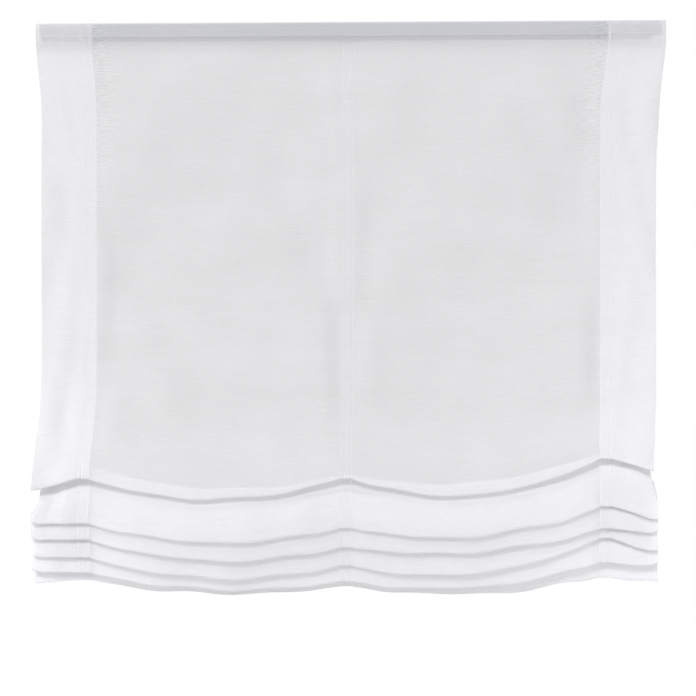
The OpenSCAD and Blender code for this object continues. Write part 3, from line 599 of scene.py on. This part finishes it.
class Section:
    """The folded section of the cloth at each place u across it: depth in front of the rings, and drop."""

    def __init__(self, u):
        self.swag = swag(u)
        self.bend = FOLD_R * (1 + SWAG_ROUND * self.swag)
        self.tiers = [
            by_tape(u, [tier_drop_at(t, k) for t in range(3)])
            + self.swag * (by_half(u, [s[k] for s in SWAG_UNEVEN]) + tier_swag(k))
            + tail(u) * TAIL_DROP * by_half(u, [s[k] for s in TAIL_SHARE])
            for k in range(TIERS)
        ]
        self.valleys = [
            by_tape(u, [ring_drop(t, k) for t in range(3)])
            + self.swag * stack_swag(k + 0.5)
            + tail(u) * TAIL_DROP * by_half(u, [(s[k] + s[k + 1]) / 2 for s in TAIL_SHARE])
            for k in range(HEM_TIER)
        ]
        self.depths, self.drops = [], []
        self.bend_rows = []
        self.front()
        self.fold_under(0)
        for k in range(1, HEM_TIER):
            self.leaf_down(k)
            self.fold_under(k)
        self.leaf_down(HEM_TIER)

    def bottom(self, k):
        """Drop at which the bend below tier k starts."""
        return self.tiers[k] - (0 if k == HEM_TIER else self.bend)

    def top(self, k):
        """Drop at which the bend over ring k starts."""
        return self.valleys[k] + VALLEY_R

    def lean(self, k):
        """Depth of tier k's lower edge, clear of the tier behind it."""
        if k == HEM_TIER:
            return HEM_LEAN + 0 * self.swag
        if k == HEM_TIER - 1:
            return FIRST_LEAN * (1 + SWAG_BULGE * self.swag)
        gap = LOOP_GAP * (1 + SWAG_ROUND * self.swag)
        if k == 0:
            gap = FRONT_GAP + (SWAG_FRONT_GAP - FRONT_GAP) * self.swag
        return self.leaf(k + 1, self.bottom(k)) + 2 * self.bend + gap

    def leaf(self, k, drop):
        """Depth of tier k's leaf at a drop."""
        t = (drop - self.top(k - 1)) / (self.bottom(k) - self.top(k - 1))
        return self.lean(k) * (1 - (1 - t) ** 2)

    def add(self, depth, drop):
        """One more row of the section."""
        self.depths.append(depth + 0 * self.swag)
        self.drops.append(drop + 0 * self.swag)

    def front(self):
        """The front layer, flat from the head and then forward over the folds."""
        belly = STACK_DROP - BELLY_H
        for drop in [*HEAD_ROWS, *np.linspace(FRONT_START, belly, FRONT_ROWS)]:
            self.add(0, drop)
        for t in np.linspace(0, 1, BELLY_ROWS + 1)[1:]:
            self.add(self.lean(0) * t * t, belly + (self.bottom(0) - belly) * t)

    def leaf_down(self, k):
        """The leaf of tier k, from its ring down to its bend."""
        for t in np.linspace(0, 1, LEAF_ROWS + 1)[1:]:
            drop = self.top(k - 1) + (self.bottom(k) - self.top(k - 1)) * t
            self.add(self.leaf(k, drop), drop)

    def fold_under(self, k):
        """The bend at the bottom of tier k, the cloth's way up behind it and the bend over the ring."""
        for a in np.radians(np.linspace(0, 180, BEND_ROWS + 1)[1:]):
            self.add(self.lean(k) - self.bend * (1 - np.cos(a)), self.bottom(k) + self.bend * np.sin(a))
        self.bend_rows.append(len(self.drops) - (BEND_ROWS + 1) // 2)
        if k > 0:
            spare = self.lean(k) - 2 * self.bend - self.leaf(k + 1, self.bottom(k)) - 2 * VALLEY_R
            for t in np.linspace(1, 0, RETURN_ROWS + 2)[1:-1]:
                drop = self.top(k) + (self.bottom(k) - self.top(k)) * t
                self.add(self.leaf(k + 1, drop) + 2 * VALLEY_R + spare * t, drop)
        for a in np.radians(np.linspace(0, 180, VALLEY_ROWS)):
            self.add(VALLEY_R * (1 + np.cos(a)), self.top(k) - VALLEY_R * np.sin(a))


def draw(drop, waist, foot):
    """Sideways draw at a drop: none at the head, then waist, then foot at the folds."""
    below_head = ease((drop - HEAD_BAND) / (WAIST_DROP - HEAD_BAND))
    at_folds = ease((drop - STACK_DROP + BELLY_H) / BELLY_H)
    return waist * below_head + (foot - waist) * at_folds


def hang_x(u, drop):
    """Where the place u across the cloth hangs at a drop."""
    share = np.abs(u) / HALF_W
    side = np.where(u < 0, draw(drop, WAIST[LEFT], FOOT[LEFT]), -draw(drop, WAIST[RIGHT], FOOT[RIGHT]))
    return u + side * share - draw(drop, SWAY / 2, SWAY) * (1 - share)


def waves(x, z, long_x, long_z, count):
    """A smooth uneven field of about unit height. long_x and long_z give its shortest and longest waves."""
    total = 0
    for _ in range(count):
        turn_x = rng.choice([-1, 1]) / rng.uniform(*long_x)
        turn_z = 1 / rng.uniform(*long_z)
        total = total + np.sin(2 * np.pi * (turn_x * x + turn_z * z) + rng.uniform(0, 2 * np.pi))
    return total / math.sqrt(count / 2)


def off_tapes(u, reach):
    """0 on a tape, rising to 1 further than reach from it."""
    gap = np.min([np.maximum(0, np.abs(u - t) - TAPE_HALF) for t in TAPE_X], axis=0)
    return ease(gap / reach)


def cloth_columns():
    """Places across the cloth, closer together beside the tapes."""
    turns = np.pi * np.arange(1, SWAG_COLS + 1) / SWAG_COLS
    half = np.concatenate([
        np.linspace(0, TAPE_HALF, CENTRE_COLS),
        TAPE_HALF + (HEM_IN - TAPE_HALF) * (1 - np.cos(turns)) / 2,
        np.linspace(HEM_IN, SIDE_X + TAPE_HALF, TAPE_COLS)[1:],
        np.linspace(SIDE_X + TAPE_HALF, HALF_W, TAIL_COLS)[1:],
    ])
    return np.concatenate([-half[:0:-1], half])


columns = cloth_columns()
section = Section(columns)
drops = np.array(section.drops)
depths = np.array(section.depths)
across = np.broadcast_to(columns, drops.shape)
sheet_x = hang_x(across, drops)
step = np.hypot(np.diff(depths, axis=0), np.diff(drops, axis=0)).mean(axis=1)
along = np.concatenate([[0], np.cumsum(step)])
CLOTH_LEN = along[-1]

# Soft waves. Each is a field over the face of the blind, so that layers in the folds move together
hang = ease((drops - HEAD_BAND) / WAVE_START)
front_layer = np.arange(len(along)) <= section.bend_rows[0]
flat_front = (1 - ease((drops - STACK_DROP + WAVE_END) / WAVE_END)) * front_layer[:, None]
in_hem = ease((np.abs(across) - HEM_IN + HEM_EDGE / 2) / HEM_EDGE)
clear = off_tapes(across, WAVE_CLEAR)
long_waves = sum(
    np.sin(2 * np.pi * (sheet_x / w + drops / d) + math.radians(p)) for w, d, p in FRONT_WAVES
)
depths = depths + hang * clear * (
    WAVE_H * flat_front * (1 - in_hem) * long_waves
    + PANEL_RIPPLE * (1 - in_hem) * waves(sheet_x, drops, *PANEL_WAVES)
    + HEM_RIPPLE * in_hem * waves(sheet_x, drops, *HEM_WAVES)
)
lift = EDGE_RIPPLE * off_tapes(across, EDGE_CLEAR) * ease((drops - EDGE_START) / EDGE_RISE)
drops = drops + lift * waves(sheet_x, drops, *EDGE_WAVES)

# The loop tape stands proud, and the cloth falls back below it
tape_foot = HEAD_Z - LOOP_LOW.z / MM
hook_foot = HEAD_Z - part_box("hook_tape")[0].z / MM
below_loops = (LOOP_FALL - HEM_HOLD * in_hem) * ease((drops - tape_foot) / LOOP_FALL_H)
fall = below_loops + HOOK_FALL * ease((drops - hook_foot) / HOOK_FALL_H)
depths = depths - fall * (1 - ease((drops - FALL_END) / FALL_FADE)) * front_layer[:, None]

# Side hems are creased where they go round the head
at_head = ease(drops / CREASE_RISE) * (1 - ease((drops - CREASE_END) / CREASE_FADE))
creases = HEM_STANDS + HEAD_CREASE * np.maximum(0, waves(sheet_x, drops, *CREASE_WAVES))
depths = depths + in_hem * front_layer[:, None] * at_head * creases

# Tails of the lower tiers are drawn in under the first tier's tail, and slip a little to the side
bends = along[[*section.bend_rows, -1]]
behind_front = ease((along - bends[0]) / PINCH_START)[:, None]
outer = ease((np.abs(across) - HEM_IN - TAIL_START) / TAIL_SPREAD)
for side, (reach, drop_in, spread) in TAIL_PINCH.items():
    half = across < 0 if side == LEFT else across > 0
    pinch = reach * (1 - ease((drops - drop_in) / spread)) * behind_front
    slip = np.interp(along, [bends[0] - SLIP_START, *bends], [0, *TAIL_SLIP[side]])[:, None]
    inward = (pinch - slip) * outer * half
    sheet_x = sheet_x + (inward if side == LEFT else -inward)

flare, flare_drop, flare_height = HEM_FLARE
flare_share = np.exp(-(((drops - flare_drop) / flare_height) ** 2)) * front_layer[:, None]
sheet_x = sheet_x + flare * flare_share * outer * (across > 0)

# Puckers where the gather tapes hold the cloth
from_tape = np.min([np.abs(across - t) for t in TAPE_X], axis=0)
pucker = np.exp(-((from_tape / PUCKER_REACH) ** 2)) * off_tapes(across, PUCKER_CLEAR)
depths = depths + TAPE_PUCKER * hang * pucker * waves(sheet_x, drops, *PUCKER_WAVES)
corner = ease((np.abs(across) - HALF_W + TAIL_CORNER) / TAIL_CORNER) ** 2
for k, row in enumerate(section.bend_rows):
    near = along[:, None] - along[row]
    short = np.exp(-(np.where(near < 0, near / PLEAT_RISE, near / PLEAT_UNDER) ** 2))
    long = np.exp(-(np.where(near < 0, near / LONG_PLEAT_RISE, near / PLEAT_UNDER) ** 2)) if k == 0 else 0
    pleat = PLEAT_H * short + LONG_PLEAT_H * long
    for t in (LEFT, CENTRE, RIGHT):
        off = across - TAPE_X[t]
        inside = np.clip((TAPE_HALF - np.abs(off)) / PLEAT_EDGE, 0, 1)
        depths = depths + pleat * inside * np.cos(2 * np.pi * off / PLEAT_W)
    turn_up = FIRST_CORNER if k == 0 else LOWER_CORNER
    drops = drops - turn_up * corner * np.exp(-((near / CORNER_REACH) ** 2))

points = np.stack([sheet_x, CLOTH_Y - depths, HEAD_Z - drops], axis=-1)
along_u = np.gradient(points, axis=1)
along_v = np.gradient(points, axis=0)
backs = np.cross(along_u, along_v)
backs /= np.linalg.norm(backs, axis=-1, keepdims=True)
outs = along_u / np.linalg.norm(along_u, axis=-1, keepdims=True)
downs = along_v / np.linalg.norm(along_v, axis=-1, keepdims=True)


def column_at(u):
    """The column nearest to the place u."""
    return int(np.argmin(np.abs(columns - u)))


def hem_strip(side):
    """A turned-in side hem, from its raw edge to the face: (column, layer, outward shift, flat place)."""
    edge, inner = column_at(side * HALF_W), column_at(side * HEM_IN)
    raw = column_at(side * (HEM_IN + TURNED_W))
    step = 1 if side > 0 else -1
    under = list(range(raw, inner - step, -step))
    lining = list(range(inner, edge + step, step))

    def flat(j):
        """Place of column j on the hem's lining, on the flat cloth."""
        return side * (2 * HALF_W - abs(columns[j]))

    turned = [(j, TURNED_LAYER, 0, side * (2 * HALF_W - 2 * HEM_IN + abs(columns[j]))) for j in under]
    fold = [(inner, (TURNED_LAYER + HEM_LAYER) / 2, -side * TURN_BULGE, flat(inner))]
    back = [(j, HEM_LAYER, 0, flat(j)) for j in lining]
    wrap = [
        (edge, HEM_LAYER * (1 + math.cos(a)) / 2, side * HEM_LAYER / 2 * math.sin(a), side * HALF_W)
        for a in np.radians((45, 90, 135))
    ]
    return turned + fold + back + wrap


face = [(j, 0, 0, columns[j]) for j in range(len(columns))]
strands = hem_strip(-1) + face + hem_strip(1)[::-1]
last = len(along) - 1
head_turn = [(i, TURNED_LAYER, 0, -along[i]) for i in range(HEAD_HEM_ROWS, -1, -1)]
head_turn.append((0, TURNED_LAYER / 2, -TURNED_LAYER / 2, 0))
foot_turn = [(last, TURNED_LAYER / 2, TURNED_LAYER / 2, CLOTH_LEN)]
foot_turn += [
    (i, TURNED_LAYER, 0, 2 * CLOTH_LEN - along[i]) for i in range(last, last - BOTTOM_HEM_ROWS - 1, -1)
]
picks = head_turn + [(i, 0, 0, along[i]) for i in range(last + 1)] + foot_turn


def laid(rows, cols, layer_rows, layer_cols, shift_rows=0, shift_cols=0):
    """Points at these rows and columns of the sheet, set back by their layers."""
    at = np.ix_(rows, cols)
    layer = np.add.outer(np.asarray(layer_rows, float), np.asarray(layer_cols, float))[..., None]
    sideways = (np.asarray(shift_cols, float) * np.ones(len(cols)))[None, :, None]
    downwards = (np.asarray(shift_rows, float) * np.ones(len(rows)))[:, None, None]
    return points[at] + backs[at] * layer + outs[at] * sideways + downs[at] * downwards


row_at, row_layer, row_shift, row_flat = (list(x) for x in zip(*picks))
col_at, col_layer, col_shift, col_flat = (list(x) for x in zip(*strands))
cloth_points = laid(row_at, col_at, row_layer, col_layer, row_shift, col_shift).reshape(-1, 3)
cloth = mesh_object("voile_panel", cloth_points, grid_faces(len(picks), len(strands)), voile)
set_uv(cloth, np.stack(np.meshgrid(col_flat, [-v for v in row_flat]), axis=-1).reshape(-1, 2))
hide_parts("fabric_panel")


# Gather tapes and their stitching


THREAD_R = 0.2
STITCH_LEN = 2.7
STITCH_PITCH = 3.8
STITCH_INSET = 1.2
STITCH_SIDES = 5
STITCH_STEP = 0.2
STITCH_RISE = 0.9
STITCH_SINK = 0.4
# Sections along one stitch: share of its length, share of the thread's radius
STITCH_FORM = ((0, 0.3), (0.2, 1), (0.8, 1), (1, 0.3))


def lengths_along(path):
    """Length along a path at each of its points."""
    return np.concatenate([[0], np.cumsum(np.linalg.norm(np.diff(path, axis=0), axis=1))])


def stitch_row(path, outward):
    """Points and faces of a row of stitches that lie on a path and stand a little out of it."""
    length = lengths_along(path)
    starts = np.arange(STITCH_PITCH, length[-1] - STITCH_PITCH, STITCH_PITCH)
    made, faces = [], []
    angles = 2 * np.pi * np.arange(STITCH_SIDES) / STITCH_SIDES

    def read(values, at):
        """The values at these lengths along the path."""
        return np.stack([np.interp(at, length, values[:, c]) for c in range(3)], axis=-1)

    for share, radius in STITCH_FORM:
        at = starts + STITCH_LEN * share
        middle = read(path, at)
        out = read(outward, at)
        out /= np.linalg.norm(out, axis=-1, keepdims=True)
        ahead = read(path, at + STITCH_STEP) - middle
        side = np.cross(ahead, out)
        side /= np.maximum(1e-9, np.linalg.norm(side, axis=-1, keepdims=True))
        lifted = middle + out * THREAD_R * (STITCH_RISE * radius - STITCH_SINK)
        ring = lifted[:, None] + THREAD_R * radius * (
            np.cos(angles)[None, :, None] * out[:, None] + np.sin(angles)[None, :, None] * side[:, None]
        )
        made.append(ring)
    rings = np.stack(made, axis=1)
    for i in range(len(starts)):
        base = i * len(STITCH_FORM) * STITCH_SIDES
        for r in range(len(STITCH_FORM) - 1):
            for a in range(STITCH_SIDES):
                b = (a + 1) % STITCH_SIDES
                low, high = base + r * STITCH_SIDES, base + (r + 1) * STITCH_SIDES
                faces.append([low + a, low + b, high + b, high + a])
        faces.append([base + a for a in range(STITCH_SIDES)][::-1])
        faces.append([base + (len(STITCH_FORM) - 1) * STITCH_SIDES + a for a in range(STITCH_SIDES)])
    return rings.reshape(-1, 3), faces


def stitching(name, seams):
    """One mesh of several rows of stitches. Each seam is (path, outward direction at each point)."""
    all_points, all_faces, count = [], [], 0
    for path, outward in seams:
        made, faces = stitch_row(path, outward)
        all_points.append(made)
        all_faces += [[v + count for v in f] for f in faces]
        count += len(made)
    return mesh_object(name, np.concatenate(all_points), all_faces, thread)


def seam_down(u, rows, layer):
    """A line down the sheet at u, at a layer behind its face. Layer 0 or less faces the front."""
    j = column_at(u)
    facing = -1 if layer <= 0 else 1
    return points[rows, j] + backs[rows, j] * layer, backs[rows, j] * facing


tape_first = int(np.argmax(along >= HEAD_BAND + TAPE_HEAD_GAP))
tape_last = last - TAPE_END_ROWS
tape_rows = np.arange(tape_first, tape_last + 1)
on_cloth = [cloth]
for t, side in enumerate(SIDES):
    first, end = column_at(TAPE_X[t] - TAPE_HALF), column_at(TAPE_X[t] + TAPE_HALF)
    strip = np.arange(first, end + 1)
    behind = CLOTH_T / 2 + SEW_GAP + (0 if t == CENTRE else CLOTH_T)
    set_back = [behind + GATHER_TAPE_T / 2] * len(tape_rows)
    middle = laid(tape_rows, strip, set_back, [0] * len(strip)).reshape(-1, 3)
    tape = mesh_object(f"tape_{side}", middle, grid_faces(len(tape_rows), len(strip)), tape_weave)
    flat_grid = np.stack(np.meshgrid(columns[strip] - TAPE_X[t], -along[tape_rows]), axis=-1).reshape(-1, 2)
    set_uv(tape, flat_grid)
    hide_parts(f"gather_tape_{side}")
    seams = []
    for edge in (-1, 1):
        u = TAPE_X[t] + edge * (TAPE_HALF - STITCH_INSET)
        seams.append(seam_down(u, tape_rows, 0))
        seams.append(seam_down(u, tape_rows, behind + GATHER_TAPE_T))
    sewn = stitching(f"tape_stitches_{side}", seams)
    on_cloth += [tape, sewn]

# The bottom hem is sewn once, and the loop tape twice along the head
BOTTOM_SEAM_ROW = last - BOTTOM_HEM_ROWS + 1
SEAM_INSET = 2.5
HEAD_SEAM_DROPS = (HEAD_Z - LOOP_HIGH.z / MM + SEAM_INSET, tape_foot - SEAM_INSET)
across_seams = [(points[BOTTOM_SEAM_ROW], -backs[BOTTOM_SEAM_ROW])]
for drop in HEAD_SEAM_DROPS:
    row = int(np.argmin(np.abs(along - drop)))
    across_seams.append((points[row], -backs[row]))
hem_sewn = stitching("hem_stitches", across_seams)
on_cloth.append(hem_sewn)


# Lift cords, their windings on the spools and the thread on each ring


def tube(name, path, radius, sides, material, body="blind"):
    """A round cord along a path of points in mm, with its UV along and around."""
    path = np.asarray(path, float)
    ahead = np.gradient(path, axis=0)
    ahead /= np.linalg.norm(ahead, axis=1, keepdims=True)
    hint = np.array([0.0, 1.0, 0.0]) if abs(ahead[0][1]) < 0.9 else np.array([1.0, 0.0, 0.0])
    normals = []
    for direction in ahead:
        hint = hint - direction * np.dot(hint, direction)
        hint /= np.linalg.norm(hint)
        normals.append(hint)
    normals = np.array(normals)
    sideways = np.cross(ahead, normals)
    angles = 2 * np.pi * np.arange(sides) / sides
    rings = path[:, None] + radius * (
        np.cos(angles)[None, :, None] * normals[:, None] + np.sin(angles)[None, :, None] * sideways[:, None]
    )
    count = len(path)
    faces = []
    for i in range(count - 1):
        for a in range(sides):
            b = (a + 1) % sides
            faces.append([i * sides + a, i * sides + b, (i + 1) * sides + b, (i + 1) * sides + a])
    faces.append(list(range(sides))[::-1])
    faces.append([(count - 1) * sides + a for a in range(sides)])
    made = mesh_object(name, rings.reshape(-1, 3), faces, material, body)
    set_uv(made, np.stack(np.meshgrid(radius * angles, lengths_along(path)), axis=-1).reshape(-1, 2))
    return made


ring_low, ring_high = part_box("rings_left")
CORD_Y = (ring_low.y + ring_high.y) / 2 / MM
winding_low, winding_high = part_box("winding_left")
WOUND_R = (winding_high.z - winding_low.z) / 2 / MM - CORD_D / 2
EXIT_Y = AXIS_Y - WOUND_R
# The cord comes down in front of its own turns, so that they can turn behind it
LEAVE_Y = EXIT_Y - CORD_D - TURN_GAP
FLAT_RINGS = list(np.arange(RING_FIRST, STACK_DROP - BELLY_H + 0.1, LOOP_LEN))


def ring_drops(t):
    """Drops of all the rings on a tape, on the flat front and over the tiers."""
    return FLAT_RINGS + [ring_drop(t, k) + VALLEY_R for k in range(HEM_TIER)]


def cord_path(t):
    """From the spool, through the rail's slot and every ring, to the end of the stop."""
    x = TAPE_X[t]
    route = [(x, LEAVE_Y, AXIS_Z), (x, EXIT_Y, RAIL_LOW.z / MM - RAIL_CLEAR)]
    route += [(float(hang_x(np.array(x), d)), CORD_Y, HEAD_Z - d) for d in ring_drops(t)]
    end = ring_drops(t)[-1] + RING_WIRE / 2 + SEAT_GAP + STOP_LEN
    route.append((float(hang_x(np.array(x), end)), CORD_Y, HEAD_Z - end))
    fine = []
    for a, b in zip(route, route[1:]):
        pieces = max(2, int(math.dist(a, b) / CORD_SEGMENT))
        fine += [tuple(np.array(a) + (np.array(b) - np.array(a)) * i / pieces) for i in range(pieces)]
    return fine + [route[-1]]


# One turn of thread: points along it, points round it, and the three turns' places in thread radii
THREAD_STEPS = 16
THREAD_SIDES = 6
THREAD_TURNS = (-2.2, 0, 2.2)


def ring_threads(t):
    """Three turns of thread round each ring's wire and through the tape, as one mesh."""
    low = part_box(f"rings_{SIDES[t]}")[0].y / MM
    far = low + RING_WIRE + THREAD_R
    near = low - SEAT_GAP - GATHER_TAPE_T / 2
    turn = (2 * np.pi * np.arange(THREAD_STEPS) / THREAD_STEPS)[:, None]
    thick = (2 * np.pi * np.arange(THREAD_SIDES) / THREAD_SIDES)[None, :]
    reach_y = (far - near) / 2 + THREAD_R * np.cos(thick)
    reach_z = RING_WIRE / 2 + THREAD_R * (1 + np.cos(thick))
    sideways = THREAD_R * np.sin(thick) + 0 * turn
    loop = np.stack([sideways, reach_y * np.cos(turn), reach_z * np.sin(turn)], axis=-1).reshape(-1, 3)
    corner = np.arange(THREAD_STEPS * THREAD_SIDES).reshape(THREAD_STEPS, THREAD_SIDES)
    beside, ahead = np.roll(corner, -1, axis=1), np.roll(corner, -1, axis=0)
    quads = np.stack([corner, beside, np.roll(beside, -1, axis=0), ahead], axis=-1).reshape(-1, 4)
    made, faces = [], []
    for drop in ring_drops(t):
        x = float(hang_x(np.array(TAPE_X[t]), drop))
        for shift in THREAD_TURNS:
            faces += (quads + len(made) * len(loop)).tolist()
            made.append(loop + np.array([x + shift * THREAD_R, (far + near) / 2, HEAD_Z - drop]))
    return mesh_object(f"ring_threads_{SIDES[t]}", np.concatenate(made), faces, thread)


for t, side in enumerate(SIDES):
    ring_threads(t)
    lift = tube(f"cord_{side}", cord_path(t), CORD_D / 2, CORD_SIDES, cord_braid)
    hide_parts(f"lift_cord_{side}")
    steps = np.arange((CORD_TURNS - 1) * TURN_STEPS + 1)
    angle = 2 * np.pi * steps / TURN_STEPS
    helix = np.stack([
        TAPE_X[t] - steps / TURN_STEPS * TURN_PITCH,
        AXIS_Y - WOUND_R * np.cos(angle),
        AXIS_Z + WOUND_R * np.sin(angle),
    ], axis=-1)
    wound = tube(f"wound_cord_{side}", helix, CORD_D / 2, CORD_SIDES, cord_braid, body="drive_train")
    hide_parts(f"winding_{side}")


# Stage, light and camera

# Light from the backdrop all round, and how bright the white backdrop looks through the sheer cloth, as
# painted shade
AMBIENT = 0.33
BEHIND_SHEER = 0.5

FLOOR_Z = -1.4
FLOOR_MIDDLE = (0, -0.5)
FLOOR_R = 1.9
FLOOR_FADE = 0.5
RIM_POINTS = 64


def seen_through(tree, layers):
    """Brightness of what is white: full without a layer of cloth before it, and dim behind one or more, as
    painted shade.
    """
    inputs = {"Value": layers, "From Min": 0, "From Max": 1, "To Min": 1, "To Max": BEHIND_SHEER}
    return add(tree, "ShaderNodeMapRange", inputs).outputs["Result"]


def pale_floor():
    """Matt white painted board, which fades into the backdrop towards its rim."""
    material, tree = new_material("matt_floor")
    place = add(tree, "ShaderNodeTexCoord").outputs["Object"]
    out = add(tree, "ShaderNodeVectorMath", {0: place}, operation="LENGTH").outputs["Value"]
    inputs = {"Value": out, "From Min": FLOOR_FADE, "From Max": FLOOR_R, "To Min": 0, "To Max": 1}
    fade = add(tree, "ShaderNodeMapRange", inputs).outputs["Result"]
    path = add(tree, "ShaderNodeLightPath")
    inputs = {0: fade, 1: path.outputs["Is Camera Ray"]}
    share = add(tree, "ShaderNodeMath", inputs, operation="MULTIPLY").outputs[0]
    paint = add(tree, "ShaderNodeBsdfPrincipled", {"Base Color": linear("#F2F2F2"), "Roughness": 0.9})
    through = seen_through(tree, path.outputs["Transparent Depth"])
    white = add(tree, "ShaderNodeEmission", {"Color": linear("#FFFFFF"), "Strength": through})
    surface = add(tree, "ShaderNodeMixShader", {0: share, 1: paint.outputs[0], 2: white.outputs[0]})
    add(tree, "ShaderNodeOutputMaterial", {"Surface": surface.outputs[0]})
    return material


floor_mesh = bpy.data.meshes.new("floor")
rim = 2 * np.pi * np.arange(RIM_POINTS) / RIM_POINTS
floor_mesh.from_pydata(
    [(FLOOR_R * math.cos(a), FLOOR_R * math.sin(a), 0) for a in rim], [], [tuple(range(len(rim)))]
)
floor_mesh.materials.append(pale_floor())
floor = bpy.data.objects.new("floor", floor_mesh)
floor.location = (*FLOOR_MIDDLE, FLOOR_Z)
bpy.context.scene.collection.objects.link(floor)

world = bpy.data.worlds.new("studio")
bpy.context.scene.world = world
world.use_nodes = True
tree = world.node_tree
tree.nodes.clear()
path = add(tree, "ShaderNodeLightPath")
seen = path.outputs["Is Camera Ray"]
for ray in ("Is Glossy Ray", "Is Transmission Ray"):
    seen = add(tree, "ShaderNodeMath", {0: seen, 1: path.outputs[ray]}, operation="MAXIMUM").outputs[0]
# Bare backdrop is white; through the sheer cloth the camera sees it dim, painted shade that stands in for a
# room behind a blind
inputs = {0: path.outputs["Transparent Depth"], 1: path.outputs["Is Camera Ray"]}
layers = add(tree, "ShaderNodeMath", inputs, operation="MULTIPLY").outputs[0]
white = {"Color": linear("#FFFFFF"), "Strength": seen_through(tree, layers)}
backdrop = add(tree, "ShaderNodeBackground", white)
light = add(tree, "ShaderNodeBackground", {"Color": linear("#FAFBFF"), "Strength": AMBIENT})
sky = add(tree, "ShaderNodeMixShader", {0: seen, 1: light.outputs[0], 2: backdrop.outputs[0]})
add(tree, "ShaderNodeOutputWorld", {"Surface": sky.outputs[0]})


def soft_lamp(name, place, target, size, watts):
    """A rectangular lamp at a place, turned to a target."""
    lamp = bpy.data.lights.new(name, "AREA")
    lamp.shape = "RECTANGLE"
    lamp.size, lamp.size_y = size
    lamp.energy = watts
    made = bpy.data.objects.new(name, lamp)
    made.location = place
    made.visible_camera = False
    made.rotation_euler = (Vector(target) - Vector(place)).to_track_quat("-Z", "Y").to_euler()
    bpy.context.scene.collection.objects.link(made)


# Place, target, size in metres and power in watts of each lamp
LAMPS = {
    "key_lamp": ((-2.8, -5.0, 4.4), (0, 0, -0.5), (2.0, 2.0), 375),
    "fill_lamp": ((1.9, -2.2, 0.2), (0, 0, -0.45), (1.4, 1.4), 8),
    "back_lamp": ((1.0, 2.8, 0.5), (0, 0, -0.45), (1.6, 1.6), 20),
    "left_side_lamp": ((-0.85, -0.4, -0.85), (-0.45, 0, -0.72), (0.3, 0.5), 0.9),
    "right_side_lamp": ((0.85, -0.4, -0.85), (0.45, 0, -0.72), (0.3, 0.5), 1.1),
}
for name, settings in LAMPS.items():
    soft_lamp(name, *settings)

CAMERA_DISTANCE = 2.5
CAMERA_AZIMUTH = math.radians(1.6)
VIEW_WIDTH = 1.1048
SENSOR = 36.0
AIM_X = -0.0019
AIM_Z = -0.501
aim = Vector((AIM_X, CLOTH_Y * MM, AIM_Z))
camera_data = bpy.data.cameras.new("camera")
camera_data.sensor_width = SENSOR
camera_data.lens = SENSOR * CAMERA_DISTANCE / VIEW_WIDTH
camera = bpy.data.objects.new("camera", camera_data)
camera.location = aim + CAMERA_DISTANCE * Vector((math.sin(CAMERA_AZIMUTH), -math.cos(CAMERA_AZIMUTH), 0))
camera.rotation_euler = (math.pi / 2, 0, CAMERA_AZIMUTH)
bpy.context.scene.collection.objects.link(camera)
bpy.context.scene.camera = camera
bpy.context.scene.view_settings.view_transform = "Standard"
# Light passes many sheer layers in the folds
bpy.context.scene.cycles.transparent_max_bounces = 48
bpy.context.scene.cycles.diffuse_bounces = 8
